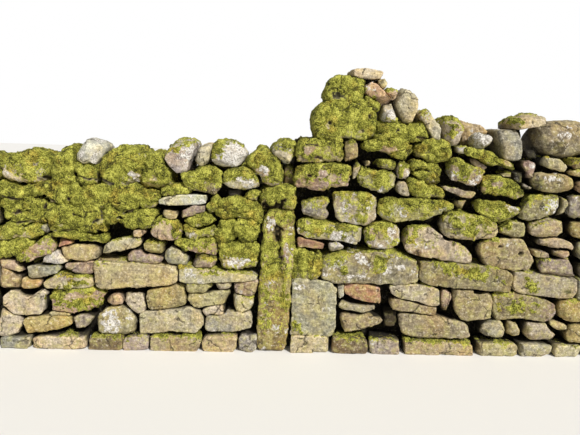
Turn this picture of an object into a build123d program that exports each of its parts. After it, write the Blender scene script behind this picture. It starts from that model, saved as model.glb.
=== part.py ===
# Dry stone wall: a low stretch on the left, an upright stoop, and a higher stretch on the right.
# Millimetres. X runs along the wall, Y into it and Z up. The origin is at ground level, under
# the middle of the wall's thickness and at the foot of the stoop.
import os
from math import cos, radians, sin, tan

from build123d import *

os.makedirs("parts", exist_ok=True)

# The wall's cross section: two battered faces, with the stones of each face one leaf deep
BASE_WIDTH = 700.0
BATTER = 6.0
HEARTING_LEAST = 40.0
THROUGH_PROUD = 18.0
FOOTING_PROUD = 30.0
JOINT = 5.0
ARRIS = 10.0
COPE_ARRIS = 20.0

# The ends of the wall and the two sides of the stoop, along X
LEFT_END = -2200.0
RIGHT_END = 2450.0
LEFT_EDGE = -132.0
RIGHT_EDGE = 95.0
STOOP_HEIGHT = 950.0

FRONT, BACK = -1.0, 1.0

# The bed lines, on which each lift of the wall is laid: points along X with their heights
GROUND = [(LEFT_END, 0.0), (RIGHT_END, 0.0)]
LEFT_FOOTING_TOP = [(LEFT_END, 62.0), (LEFT_EDGE, 115.0)]
LEFT_THROUGH_BED = [(LEFT_END, 375.0), (-1205.0, 400.0), (-660.0, 445.0), (LEFT_EDGE, 485.0)]
LEFT_THROUGH_TOP = [(LEFT_END, 590.0), (-1800.0, 590.0), (-1650.0, 560.0), (-1420.0, 562.0),
                    (-1205.0, 590.0), (-660.0, 568.0), (LEFT_EDGE, 520.0)]
HEAD_TOP = 1098.0
LEFT_COPE_BED = [(LEFT_END, 1075.0), (-691.0, 1075.0), (-689.0, 1172.0), (-556.0, 1180.0),
                 (-554.0, 1215.0), (-300.0, 1224.0), (-215.0, 1215.0), (-174.0, 1184.0),
                 (-146.0, 1140.0), (-140.0, HEAD_TOP), (LEFT_EDGE, HEAD_TOP)]
RIGHT_FOOTING_TOP = [(RIGHT_EDGE, 125.0), (850.0, 92.0), (RIGHT_END, 75.0)]
RIGHT_THROUGH_BED = [(RIGHT_EDGE, 515.0), (283.0, 480.0), (945.0, 480.0), (1593.0, 440.0),
                     (2050.0, 393.0), (RIGHT_END, 385.0)]
RIGHT_THROUGH_TOP = [(RIGHT_EDGE, 700.0), (283.0, 656.0), (745.0, 708.0), (945.0, 632.0),
                     (1295.0, 626.0), (1593.0, 584.0), (2050.0, 539.0), (RIGHT_END, 500.0)]
RIGHT_MIDDLE_BED = [(RIGHT_EDGE, 1058.0), (330.0, 1066.0), (430.0, 1088.0), (610.0, 1078.0),
                    (680.0, 1054.0), (1590.0, 1058.0), (1650.0, 1104.0), (RIGHT_END, 1118.0)]
RIGHT_COPE_BED = [(RIGHT_EDGE, 1425.0), (1062.0, 1441.0), (1066.0, 1405.0), (1240.0, 1400.0),
                  (1242.0, 1385.0), (1426.0, 1380.0), (1428.0, 1325.0), (1640.0, 1325.0),
                  (1665.0, 1350.0), (RIGHT_END, 1350.0)]

# Each leaf is as deep as leaves the least width for the hearting, under the highest of the copes
HIGHEST_BED = max(z for x, z in LEFT_COPE_BED + RIGHT_COPE_BED)
LEAF = (BASE_WIDTH / 2 - HIGHEST_BED * tan(radians(BATTER)) - HEARTING_LEAST / 2) * cos(radians(BATTER))

# The joints between the long slabs that pass through the wall, along X
LEFT_THROUGH_JOINTS = [LEFT_END, -1830.0, -1207.0, -661.0, LEFT_EDGE]
RIGHT_THROUGH_JOINTS = [RIGHT_EDGE, 283.0, 945.0, 1593.0, 2050.0, RIGHT_END]

# The joints between the footing stones, along X
LEFT_FOOTING_JOINTS = [LEFT_END, -1835.0, -1620.0, -1250.0, -1010.0, -845.0, -500.0, -255.0, LEFT_EDGE]
RIGHT_FOOTING_JOINTS = [RIGHT_EDGE, 370.0, 630.0, 850.0, 1370.0, 1660.0, 1900.0, 2130.0, RIGHT_END]


def height_on(bed, x):
    """The height of a bed line at a place along the wall."""
    for (x0, z0), (x1, z1) in zip(bed, bed[1:]):
        if x0 <= x <= x1:
            return z0 + (z1 - z0) * (x - x0) / (x1 - x0)
    return bed[-1][1]


def along(bed, x0, x1):
    """The points of a bed line from one place along the wall to another."""
    between = [(x, z) for x, z in bed if x0 < x < x1]
    return [(x0, height_on(bed, x0))] + between + [(x1, height_on(bed, x1))]


def face_plane(side, proud=0.0):
    """A plane of the battered face on one side, looking outwards."""
    lean = radians(BATTER)
    outwards = Vector(0, side * cos(lean), sin(lean))
    foot = Vector(0, side * BASE_WIDTH / 2, 0) + outwards * proud
    return Plane(origin=foot, x_dir=(1, 0, 0), z_dir=outwards)


def lay(outline, front, back, arris=0.0):
    """Masonry of one outline in elevation, cut off by the planes in front of and behind it."""
    with BuildPart() as stone:
        with BuildSketch(Plane.XZ):
            with BuildLine():
                Polyline(*outline, close=True)
            make_face()
        extrude(amount=BASE_WIDTH, both=True)
        split(bisect_by=front, keep=Keep.BOTTOM)
        split(bisect_by=back, keep=Keep.BOTTOM)
        if arris > 0:
            ends = stone.faces().sort_by(Axis.Y)
            chamfer(ends[0].edges() + ends[-1].edges(), length=arris)
    return stone.part


def lift(lower, upper, x0, x1, front, back, arris=0.0):
    """The masonry between two bed lines, from one upright joint to another."""
    outline = along(lower, x0, x1) + along(upper, x0, x1)[::-1]
    return lay(outline, front, back, arris)


def leaf_planes(side, proud=0.0):
    """The face of one leaf, and the plane on which its tails meet the hearting."""
    seat = face_plane(side, -LEAF)
    inner = Plane(origin=seat.origin, x_dir=(1, 0, 0), z_dir=-seat.z_dir)
    return face_plane(side, proud), inner


def core_planes():
    """The two planes between which the hearting is packed."""
    return face_plane(FRONT, -LEAF), face_plane(BACK, -LEAF)


def full_planes(proud=0.0):
    """The two faces of a stone that is as deep as the wall is thick."""
    return face_plane(FRONT, proud), face_plane(BACK, proud)


def row(lower, upper, joints, planes, arris=0.0):
    """A row of stones between two bed lines, with an open joint beside each one."""
    return [lift(lower, upper, x0 + JOINT / 2, x1 - JOINT / 2, *planes, arris)
            for x0, x1 in zip(joints, joints[1:])]


def keep(name, solids):
    """Write the stones of one node as one file."""
    with BuildPart() as node:
        add(solids)
    node.part.label = name
    export_step(node.part, f"parts/{name}.step")


# Footings: the widest stones, which stand proud of both faces at the ground
for side, name in ((FRONT, "front_footings"), (BACK, "back_footings")):
    planes = leaf_planes(side, FOOTING_PROUD)
    keep(name, row(GROUND, LEFT_FOOTING_TOP, LEFT_FOOTING_JOINTS, planes, ARRIS)
         + row(GROUND, RIGHT_FOOTING_TOP, RIGHT_FOOTING_JOINTS, planes, ARRIS))

# The left stretch, lift by lift, on each side of its hearting
for side, word in ((FRONT, "front"), (BACK, "back")):
    planes = leaf_planes(side)
    keep(f"left_lower_{word}", [lift(LEFT_FOOTING_TOP, LEFT_THROUGH_BED, LEFT_END, LEFT_EDGE, *planes)])
    keep(f"left_upper_{word}", [lift(LEFT_THROUGH_TOP, LEFT_COPE_BED, LEFT_END, LEFT_EDGE, *planes)])
keep("left_lower_hearting", [lift(GROUND, LEFT_THROUGH_BED, LEFT_END, LEFT_EDGE, *core_planes())])
keep("left_upper_hearting", [lift(LEFT_THROUGH_TOP, LEFT_COPE_BED, LEFT_END, LEFT_EDGE, *core_planes())])

# The left throughs, and the small stones that fill the course between the first and the second
left_band = row(LEFT_THROUGH_BED, LEFT_THROUGH_TOP, LEFT_THROUGH_JOINTS, full_planes(THROUGH_PROUD), ARRIS)
keep("left_throughs", [left_band[0], left_band[2], left_band[3]])
keep("left_through_filling", [lift(LEFT_THROUGH_BED, LEFT_THROUGH_TOP, LEFT_THROUGH_JOINTS[1] + JOINT / 2,
                                   LEFT_THROUGH_JOINTS[2] - JOINT / 2, *full_planes())])

# The right stretch: the upright pale slab in its lower lift stands against the stoop
PALE_SLAB_RIGHT = 398.0
SLAB_EDGE = PALE_SLAB_RIGHT + JOINT
keep("pale_slab", [lift(RIGHT_FOOTING_TOP, RIGHT_THROUGH_BED, RIGHT_EDGE, PALE_SLAB_RIGHT,
                        *leaf_planes(FRONT, THROUGH_PROUD), ARRIS)])
keep("right_lower_front", [lift(RIGHT_FOOTING_TOP, RIGHT_THROUGH_BED, SLAB_EDGE, RIGHT_END,
                                *leaf_planes(FRONT))])
keep("right_lower_back", [lift(RIGHT_FOOTING_TOP, RIGHT_THROUGH_BED, RIGHT_EDGE, RIGHT_END,
                               *leaf_planes(BACK))])
keep("right_lower_hearting", [lift(GROUND, RIGHT_THROUGH_BED, RIGHT_EDGE, RIGHT_END, *core_planes())])
keep("right_throughs", row(RIGHT_THROUGH_BED, RIGHT_THROUGH_TOP, RIGHT_THROUGH_JOINTS,
                           full_planes(THROUGH_PROUD), ARRIS))
for side, word in ((FRONT, "front"), (BACK, "back")):
    planes = leaf_planes(side)
    keep(f"right_middle_{word}", [lift(RIGHT_THROUGH_TOP, RIGHT_MIDDLE_BED, RIGHT_EDGE, RIGHT_END, *planes)])
    keep(f"right_upper_{word}", [lift(RIGHT_MIDDLE_BED, RIGHT_COPE_BED, RIGHT_EDGE, RIGHT_END, *planes)])
keep("right_upper_hearting", [lift(RIGHT_THROUGH_TOP, RIGHT_COPE_BED, RIGHT_EDGE, RIGHT_END, *core_planes())])

# The stoop: one upright stone as deep as the wall, broader at its foot than at its head
STOOP_PROUD = 15.0
stoop_outline = [(LEFT_EDGE, 0), (RIGHT_EDGE - 25, 0), (RIGHT_EDGE - 12, 380), (RIGHT_EDGE, 490),
                 (RIGHT_EDGE, STOOP_HEIGHT - 60), (RIGHT_EDGE - 25, STOOP_HEIGHT),
                 (LEFT_EDGE + 62, STOOP_HEIGHT), (LEFT_EDGE + 36, STOOP_HEIGHT - 60), (LEFT_EDGE + 34, 410),
                 (LEFT_EDGE + 8, 300)]

# A crooked cleft in its front face, narrower as it runs down
CLEFT_DEPTH = 60.0
CLEFT = [(-18, 857), (13, 857), (8, 743), (27, 596), (10, 596), (-20, 742)]
with BuildPart() as stoop:
    add(lay(stoop_outline, *full_planes(STOOP_PROUD), ARRIS))
    with BuildSketch(face_plane(FRONT, STOOP_PROUD)):
        with BuildLine():
            Polyline(*CLEFT, close=True)
        make_face()
    extrude(amount=-CLEFT_DEPTH, mode=Mode.SUBTRACT)
keep("stoop", [stoop.part])

# Small stone packed into the joints on both sides of the stoop, back from both faces
STOOP_JOINT_DEPTH = 60.0
stoop_space = [(LEFT_EDGE, 0), (RIGHT_EDGE, 0), (RIGHT_EDGE, STOOP_HEIGHT), (LEFT_EDGE, STOOP_HEIGHT)]
with BuildPart() as stoop_packing:
    add(lay(stoop_space, *full_planes(-STOOP_JOINT_DEPTH)))
    add(lay(stoop_outline, *full_planes(STOOP_PROUD)), mode=Mode.SUBTRACT)
keep("stoop_packing", [stoop_packing.part])

# The stone laid over the stoop, up to the bed of the copes
HEAD_PROUD = 5.0
STOOP_BED = [(LEFT_EDGE, STOOP_HEIGHT), (RIGHT_EDGE, STOOP_HEIGHT)]
HEAD_BED = [(-400.0, HEAD_TOP), (RIGHT_EDGE, HEAD_TOP)]
keep("stoop_head_stone", [lift(STOOP_BED, HEAD_BED, LEFT_EDGE, RIGHT_EDGE,
                               *full_planes(HEAD_PROUD), ARRIS)])


def cope(bed, x0, x1, crown, planes=None, arris=COPE_ARRIS):
    """A stone seated on a bed line from x0 to x1, with the rest of its outline given clockwise."""
    outline = along(bed, x0, x1) + crown[::-1]
    return lay(outline, *(planes or full_planes()), arris)


# The copes of the left stretch, from its end to the stoop
left_end_cope = cope(LEFT_COPE_BED, -2180, -1815,
                     [(-2190, 1165), (-2120, 1240), (-1990, 1264), (-1870, 1242), (-1806, 1180)])
mound_cope = cope(LEFT_COPE_BED, -1730, -1494,
                  [(-1790, 1130), (-1794, 1205), (-1738, 1248), (-1662, 1284), (-1600, 1290), (-1540, 1277),
                   (-1486, 1244), (-1491, 1160)])
pointed_cope = cope(LEFT_COPE_BED, -1482, -1334,
                    [(-1484, 1160), (-1474, 1236), (-1424, 1286), (-1374, 1311), (-1352, 1294),
                     (-1330, 1185)])
WHITE_BED = [(-1316, 1222), (-1180, 1204)]
bearer = cope(LEFT_COPE_BED, -1310, -1184, WHITE_BED)
dome_cope = cope(LEFT_COPE_BED, -1162, -920,
                 [(-1172, 1150), (-1174, 1212), (-1135, 1281), (-1108, 1310), (-1050, 1335), (-1005, 1333),
                  (-931, 1311), (-870, 1285), (-900, 1250), (-912, 1185)])
low_dome_cope = cope(LEFT_COPE_BED, -905, -698,
                     [(-903, 1185), (-886, 1252), (-842, 1296), (-786, 1293), (-714, 1165)])
keep("left_low_copes", [left_end_cope, mound_cope, pointed_cope, bearer, dome_cope, low_dome_cope])

keep("white_cope", [cope(WHITE_BED, -1290, -1198,
                         [(-1328, 1246), (-1319, 1294), (-1292, 1347), (-1253, 1376), (-1210, 1370),
                          (-1172, 1356), (-1147, 1319), (-1150, 1292), (-1176, 1240)])])

leaning_cope = cope(LEFT_COPE_BED, -680, -612,
                    [(-735, 1225), (-763, 1268), (-750, 1312), (-708, 1360), (-659, 1385), (-601, 1385),
                     (-567, 1367), (-563, 1338), (-590, 1263)])
small_cope = cope(LEFT_COPE_BED, -544, -480,
                  [(-566, 1258), (-548, 1335), (-496, 1362), (-458, 1364), (-452, 1340), (-471, 1262)])
boulder_cope = cope(LEFT_COPE_BED, -425, -270,
                    [(-463, 1262), (-445, 1350), (-418, 1384), (-374, 1398), (-315, 1388), (-250, 1355),
                     (-219, 1308), (-236, 1264)])
keep("left_high_copes", [leaning_cope, small_cope, boulder_cope])

# The copes over the stoop: one leans, a pale one rests on its shoulder and on a packing stone
SHOULDER_TOP, SHOULDER_FOOT = (-57, 1312), (-11, 1260)
PACKING_TOP = 1244.0
PACKING_SETBACK = 90.0
keep("mossy_cope", [cope(HEAD_BED, -72, 12,
                         [(-145, 1172), (-206, 1232), (-214, 1262), (-195, 1303), (-156, 1334), (-102, 1341),
                          SHOULDER_TOP, SHOULDER_FOOT, (16, 1150)])])
packing_planes = (face_plane(FRONT, -PACKING_SETBACK), face_plane(BACK))
keep("packing_stone", [cope(HEAD_BED, 24, RIGHT_EDGE, [(24, PACKING_TOP), (RIGHT_EDGE, PACKING_TOP)],
                            packing_planes, ARRIS)])
PALE_BED = [SHOULDER_TOP, SHOULDER_FOOT, (24, PACKING_TOP), (RIGHT_EDGE, PACKING_TOP)]
keep("pale_cope", [cope(PALE_BED, SHOULDER_TOP[0], 52,
                        [(-70, 1345), (-10, 1407), (35, 1415), (70, 1392), (88, 1372), (84, 1308)])])

# The peak of the right stretch: two great blocks, a flat cap and the stones that lean on them
PEAK_TOP = [(288, 1662), (390, 1690), (520, 1682)]
PEAK_SHOULDER = [PEAK_TOP[-1], (586, 1650), (602, 1613)]
peak_crown = [(210, 1496), (198, 1588), (232, 1632)] + PEAK_TOP + PEAK_SHOULDER[1:] + [(610, 1520)]
keep("peak_block", [cope(RIGHT_COPE_BED, 232, 600, peak_crown)])
UPPER_TOP = [(359, 1826), (503, 1826)]
upper_crown = [(276, 1715), (288, 1752), (310, 1795)] + UPPER_TOP + [(526, 1800), (518, 1750), (521, 1716)]
keep("peak_upper_block", [cope(PEAK_TOP, 292, 512, upper_crown)])
CAP_BED = [(431, 1826), UPPER_TOP[1], (560, 1812), (612, 1812), (650, 1822)]
keep("peak_cap", [cope(CAP_BED, 434, 650, [(431, 1850), (436, 1868), (517, 1879), (628, 1872), (656, 1853)],
                       arris=ARRIS)])

LEDGE_TOP = [(630, 1537), (925, 1537)]
keep("ledge_stone", [cope(RIGHT_COPE_BED, 613, 976, [(613, 1505)] + LEDGE_TOP + [(952, 1508), (980, 1470)])])
PROP_TOP = [(668, 1665), (716, 1665)]
prop_stone = cope(LEDGE_TOP, 662, 742, [(646, 1575), (650, 1618)] + PROP_TOP + [(734, 1625), (752, 1585)])
grey_angular = cope(LEDGE_TOP, 795, 844,
                    [(727, 1666), (774, 1741), (797, 1768), (841, 1743), (880, 1702), (881, 1630)])
LEANING_BACK = [(608, 1788), (702, 1690)]
leaning_crown = [(644, 1642), (604, 1690), (570, 1720), (534, 1720), (526, 1764), (566, 1800)] + LEANING_BACK
keep("peak_leaning_stone", [cope(PROP_TOP, PROP_TOP[0][0], 711, leaning_crown, arris=ARRIS)])
filling_stone = cope(PEAK_SHOULDER, 530, 602,
                     [(531, 1712), (565, 1712), (598, 1683), (632, 1642), (622, 1614)], arris=ARRIS)
wedged_stone = cope(LEANING_BACK, 666, 702, [(690, 1752), (762, 1748), (731, 1691)], arris=ARRIS)
keep("peak_props", [prop_stone, grey_angular, filling_stone, wedged_stone])
keep("peak_wedge", [cope(LEANING_BACK, 624, 656, [CAP_BED[-2], CAP_BED[-1], (672, 1790)], arris=ARRIS)])

# The copes of the right stretch, from the peak to its end
tall_cope = cope(RIGHT_COPE_BED, 996, 1050,
                 [(985, 1492), (898, 1592), (893, 1612), (917, 1629), (957, 1624), (1028, 1557), (1054, 1518),
                  (1058, 1475)])
round_cope = cope(RIGHT_COPE_BED, 1090, 1165,
                  [(1066, 1480), (1066, 1540), (1083, 1580), (1120, 1594), (1166, 1577), (1206, 1520),
                   (1195, 1475)])

# Two of them share one place: a brown one behind, and in front of it a low one with rings of lichen
MIDDLE = -40.0
behind = (Plane(origin=(0, MIDDLE, 0), x_dir=(1, 0, 0), z_dir=(0, -1, 0)), face_plane(BACK))
before = (face_plane(FRONT), Plane(origin=(0, MIDDLE - JOINT, 0), x_dir=(1, 0, 0), z_dir=(0, 1, 0)))
brown_cope = cope(RIGHT_COPE_BED, 1246, 1418,
                  [(1214, 1525), (1213, 1562), (1240, 1572), (1339, 1544), (1420, 1531)], behind)
ringed_cope = cope(RIGHT_COPE_BED, 1284, 1345,
                   [(1256, 1436), (1264, 1474), (1306, 1502), (1346, 1484), (1402, 1472), (1388, 1435)],
                   before)
keep("right_tall_copes", [tall_cope, round_cope, brown_cope, ringed_cope])

BLOCK_TOP = [(1432, 1519), (1560, 1525)]
block_crown = [(1450, 1419), (1428, 1484)] + BLOCK_TOP + [(1585, 1490), (1603, 1411)]
keep("block_cope", [cope(RIGHT_COPE_BED, 1472, 1598, block_crown)])
SLAB_BED = BLOCK_TOP + [(1795, 1586)]
SLAB_REST = along(SLAB_BED, 1734, 1795)
keep("flat_cope", [cope(SLAB_BED, 1524, 1792, [(1516, 1556), (1534, 1590), (1604, 1621), (1666, 1627),
                                               (1770, 1616)], arris=ARRIS)])
tan_crown = [(1722, 1427), (1698, 1475), (1701, 1523)] + SLAB_REST
tan_boulder = cope(RIGHT_COPE_BED, 1790, 2005,
                   tan_crown + [(1868, 1595), (1960, 1598), (2029, 1583), (2064, 1510), (2060, 1422)])
right_end_cope = cope(RIGHT_COPE_BED, 2100, 2420,
                      [(2074, 1440), (2090, 1505), (2150, 1550), (2250, 1562), (2360, 1520), (2442, 1425)])
keep("right_end_copes", [tan_boulder, right_end_cope])
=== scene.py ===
# %% [markdown]
# # A dry stone wall
# This lesson gives a dry stone wall its looks. The CAD model already holds the wall's lifts, its long
# throughs, the upright stoop and every cope stone. What is missing is what makes it a real wall: each
# stone of the two faces with its own outline, broken edges and pillows of moss, and the finish of
# weathered rock with lichen. We load the CAD model as a fixed frame and build round it, in metres.

# %% Load the frame
from functools import partial
from math import radians, tan

import bmesh
import bpy
import numpy as np
from mathutils import Matrix, Vector, noise
from mathutils.geometry import convex_hull_2d


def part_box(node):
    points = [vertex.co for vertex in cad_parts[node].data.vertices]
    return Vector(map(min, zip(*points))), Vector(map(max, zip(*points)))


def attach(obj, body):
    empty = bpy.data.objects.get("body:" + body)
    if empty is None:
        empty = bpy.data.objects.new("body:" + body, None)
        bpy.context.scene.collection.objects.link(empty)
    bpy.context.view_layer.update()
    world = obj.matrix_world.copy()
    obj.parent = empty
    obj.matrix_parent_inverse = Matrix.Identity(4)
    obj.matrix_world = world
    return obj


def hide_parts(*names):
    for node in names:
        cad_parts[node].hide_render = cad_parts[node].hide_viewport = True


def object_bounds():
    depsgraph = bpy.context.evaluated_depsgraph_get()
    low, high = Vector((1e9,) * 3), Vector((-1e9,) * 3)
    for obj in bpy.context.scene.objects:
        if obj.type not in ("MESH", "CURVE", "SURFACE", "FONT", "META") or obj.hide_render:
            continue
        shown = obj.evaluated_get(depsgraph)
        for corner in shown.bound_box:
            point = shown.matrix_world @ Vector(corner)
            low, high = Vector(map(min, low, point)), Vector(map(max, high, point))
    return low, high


def rounded(values):
    """Numbers cut to three places, for printing."""
    return [round(value, 3) for value in values]


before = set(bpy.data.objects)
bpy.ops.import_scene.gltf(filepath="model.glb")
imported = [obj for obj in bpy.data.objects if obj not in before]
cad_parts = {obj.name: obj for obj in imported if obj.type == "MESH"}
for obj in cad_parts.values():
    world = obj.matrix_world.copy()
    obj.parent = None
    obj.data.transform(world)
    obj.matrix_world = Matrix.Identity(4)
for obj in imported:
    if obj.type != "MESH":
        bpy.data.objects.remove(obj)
cad_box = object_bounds()
print("CAD box", [rounded(corner) for corner in cad_box])

# %% [markdown]
# ## The camera
# The photographer stood about three metres in front of the wall, looked a little down and held the
# camera slightly turned. The camera comes first, because the face stones are laid out through it.
# A lens of 28 mm on a 36 mm sensor is what the spread of the picture asks for.

# %% Camera
IMAGE_WIDTH, IMAGE_HEIGHT = 580, 435
SENSOR, LENS = 36.0, 28.0
EYE = Vector((-0.043, -3.160, 1.525))
LOOK_DOWN, LOOK_RIGHT, ROLL = radians(12.0), radians(2.2), radians(2.0)

camera_data = bpy.data.cameras.new("camera")
camera_data.sensor_width, camera_data.lens = SENSOR, LENS
camera = bpy.data.objects.new("camera", camera_data)
bpy.context.scene.collection.objects.link(camera)
camera.matrix_world = (Matrix.Translation(EYE) @ Matrix.Rotation(-LOOK_RIGHT, 4, "Z")
                       @ Matrix.Rotation(radians(90) - LOOK_DOWN, 4, "X") @ Matrix.Rotation(ROLL, 4, "Z"))
bpy.context.scene.camera = camera
print("the camera stands at", rounded(EYE))

# %% [markdown]
# A point of the picture becomes a place on the wall's front face by following the camera's ray to it.
# The face leans back as it rises, by the wall's batter, so its distance depends on the height.

# %% From the picture to the face
BATTER = tan(radians(6.0))
HALF_FOOT = 0.350
FOCAL = IMAGE_WIDTH * LENS / SENSOR
STOOP_FOOT = (276, 350)


def on_face(px, py):
    """The place (x, z) on the front face that shows at a point of the picture."""
    ray = camera.matrix_world.to_3x3() @ Vector(((px - IMAGE_WIDTH / 2) / FOCAL,
                                                 (IMAGE_HEIGHT / 2 - py) / FOCAL, -1.0))
    reach = (BATTER * EYE.z - HALF_FOOT - EYE.y) / (ray.y - BATTER * ray.z)
    place = EYE + reach * ray
    return place.x, place.z


print("the foot of the stoop shows at x, z", rounded(on_face(*STOOP_FOOT)))

# %% [markdown]
# ## One cube becomes any stone
# A field stone is a rough block: an outline of a few straight sides with worn corners, a face that
# bulges a little, an arris rounded by weather, and a tail that narrows into the wall. It could be
# sculpted by hand, but a wall has hundreds. So one subdivided cube is made per size, and its points
# are moved: its front is fitted to the stone's outline, its edge rounded, its corners chipped and
# its surface roughened. Where the tail is hidden in the wall, the cube's back is a single face.

# %% A subdivided cube
CUBE = 2.0
cubes = {}


def cube_of(across, up, deep, closed_tail):
    """A cube from -1 to 1 with that many cells along x, z and y, facing -y, and its points."""
    key = (across, up, deep, closed_tail)
    if key not in cubes:
        bm = bmesh.new()
        bmesh.ops.create_cube(bm, size=CUBE)
        for axis, cells in ((0, across), (2, up), (1, deep)):
            lines = [e for e in bm.edges if abs(e.verts[0].co[axis] - e.verts[1].co[axis]) > 0.95 * CUBE]
            bmesh.ops.subdivide_edges(bm, edges=lines, cuts=cells - 1, use_grid_fill=True)
        if closed_tail:
            tail = [f for f in bm.faces if f.calc_center_median().y > 0.999]
            bmesh.ops.dissolve_faces(bm, faces=tail)
        mesh = bpy.data.meshes.new("cube")
        bm.to_mesh(mesh)
        bm.free()
        for label in ("tint", "cover"):
            mesh.attributes.new(label, "FLOAT_COLOR", "POINT")
        mesh.polygons.foreach_set("use_smooth", [True] * len(mesh.polygons))
        places = np.empty(len(mesh.vertices) * 3)
        mesh.vertices.foreach_get("co", places)
        cubes[key] = (mesh, places.reshape(-1, 3))
    return cubes[key]


# %% [markdown]
# The outline is softened by cutting its corners twice, and then read as a distance for every
# direction from the stone's middle, measured in half widths and half heights, so that long stones
# keep an even mesh.

# %% An outline by direction
CORNER_CUTS, SIDE_STEPS = 2, 8


def cut_corners(points, share):
    """The outline with each corner cut off at that share of its two sides."""
    after = np.roll(points, -1, axis=0)
    return np.stack([points + (after - points) * share, after - (after - points) * share], 1).reshape(-1, 2)


def reach_of(outline, share):
    """The outline's middle, its half size and a function from a direction to its reach."""
    for _ in range(CORNER_CUTS):
        outline = cut_corners(outline, share)
    middle = (outline.max(0) + outline.min(0)) / 2
    half = (outline.max(0) - outline.min(0)) / 2
    steps = np.linspace(0, 1, SIDE_STEPS + 1)[:-1, None]
    after = np.roll(outline, -1, axis=0)
    dense = np.concatenate([p + (q - p) * steps for p, q in zip(outline, after)])
    dense = (dense - middle) / half
    turn = np.arctan2(dense[:, 1], dense[:, 0])
    order = np.argsort(turn)
    turn, reach = turn[order], np.hypot(dense[:, 0], dense[:, 1])[order]
    return middle, half, lambda angle: np.interp(angle, turn, reach, period=2 * np.pi)


# %% [markdown]
# Roughness comes from fractal noise, read at each point of the stone. The stones differ because
# each reads another part of the noise. Broken rock is planes and not lumps, so a second noise tilts
# each cell of a Voronoi pattern its own way.

# %% Noise helpers
FALL, FINER = 0.9, 2.1  # how much weaker and how much finer each octave of the noise is
CELL_SPREAD = 5.7
HALF_CELL = Vector((0.5, 0.5, 0.5))


def fractal(places, scale, shift=0.0, octaves=2):
    """Fractal noise at the places, for lumps of about 1 / scale metres."""
    return np.array([noise.fractal(p, FALL, FINER, octaves) for p in (places * scale + shift).tolist()])


def broken_planes(places, scale, shift):
    """Heights of a surface that broke into planes, each a cell about 1 / scale metres wide."""
    heights = []
    for place in (places * scale + shift).tolist():
        heart = noise.voronoi(place)[1][0]
        heights.append((Vector(place) - heart).dot(noise.cell_vector(heart * CELL_SPREAD) - HALF_CELL))
    return np.array(heights)


def smooth_step(value, low, high):
    """From 0 below low to 1 above high, with soft ends."""
    t = np.clip((value - low) / (high - low), 0, 1)
    return t * t * (3 - 2 * t)


# %% [markdown]
# ## The forms of stone
# Squared blocks keep a crisp arris, boulders are round all over, slabs lie in thin beds, and a
# stone under moss is a soft pillow. Each form is a few sizes in metres: the arris radius, the bulge
# of its face, the share of its corners that is cut, and the depth of its chips, lumps and breaks.

# %% Forms and rock colours
FORMS = {
    "block": dict(arris=0.010, bulge=0.006, corner=0.13, chip=0.014, lumps=0.0045, breaks=0.0150),
    "slab": dict(arris=0.008, bulge=0.003, corner=0.16, chip=0.009, lumps=0.0035, breaks=0.0100),
    "round": dict(arris=0.027, bulge=0.014, corner=0.22, chip=0.012, lumps=0.0060, breaks=0.0080),
    "pillow": dict(arris=0.028, bulge=0.010, corner=0.21, chip=0.004, lumps=0.0125, breaks=0.0020),
}
TINTS = {
    "light": (0.56, 0.49, 0.35), "tan": (0.47, 0.39, 0.23), "ochre": (0.44, 0.34, 0.15),
    "olive": (0.40, 0.35, 0.18), "grey": (0.40, 0.37, 0.29), "purple": (0.37, 0.29, 0.24),
    "pink": (0.50, 0.37, 0.27), "red": (0.50, 0.28, 0.20), "brown": (0.20, 0.15, 0.09),
    # the near-black "dark" also paints shade: on the pins between copes and on the hearting core
    "white": (0.64, 0.60, 0.53), "dark": (0.045, 0.038, 0.028), "buff": (0.50, 0.385, 0.255),
}
print(len(FORMS), "forms and", len(TINTS), "rock colours")

# %% [markdown]
# Weather rounds an arris unevenly. Points near it, on the face or on a side, are pulled onto a curve
# a little squarer than a circle, and its radius changes on the way round the stone.

# %% A worn arris
ARRIS_CURVE = 2.2  # 2 would be a circle
ARRIS_CHANGE = 0.35
LARGEST_ARRIS = 0.8  # of the stone's smaller half size


def arris_of(form, wear, half, angle, luck):
    """The radius of the arris in each direction from the stone's middle."""
    radius = np.minimum(form["arris"] * wear, LARGEST_ARRIS * min(half))
    wave = np.sin(angle * 2 + luck.uniform(0, 6))
    return radius * (1 + ARRIS_CHANGE * wave * np.sin(angle * 3 + luck.uniform(0, 6)))


def round_arris(radius, square, rim, end):
    """Where the points lie once the arris is rounded: their share of the way to the rim, their depth
    from the nearer end, and how worn they are."""
    from_edge = (1 - square) * rim
    side, front = np.clip(1 - from_edge / radius, 0, 1), np.clip(1 - end / radius, 0, 1)
    pull = (side ** ARRIS_CURVE + front ** ARRIS_CURVE) ** (-1 / ARRIS_CURVE)
    near = (side > 0) & (front > 0)
    from_edge = np.where(near, radius * (1 - side * pull), from_edge)
    end = np.where(near, radius * (1 - front * pull), end)
    return np.clip(1 - from_edge / rim, 0, 1), end, side * front


# %% [markdown]
# A face stone's tail is hidden in the wall and narrows there, and its face leans a little and stands
# proud of its neighbours or behind them. A stone that goes through the wall shows at both ends, and
# a boulder narrows towards them on the bed that it stands on, more behind than in front.

# %% Faces and tails
FACE_LEAN, PROUD, TAIL_NARROWS = 0.03, (-0.003, 0.010), 0.22
FAR_PART, NEAR_PART = 0.62, 0.25  # the shares of its depth over which a boulder narrows


def hidden_tail(flat, depth, full, bulge, set_back, lean, luck):
    """A stone whose tail is in the wall: its points on the face, and their depths."""
    inward = np.clip(depth / full, 0, 1)
    depth = depth - bulge * (1 - inward) + (flat @ lean) * (1 - inward) + set_back * (1 - inward)
    return flat * (1 - TAIL_NARROWS * inward ** 1.5)[:, None], depth - luck.uniform(*PROUD) * (1 - inward)


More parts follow.
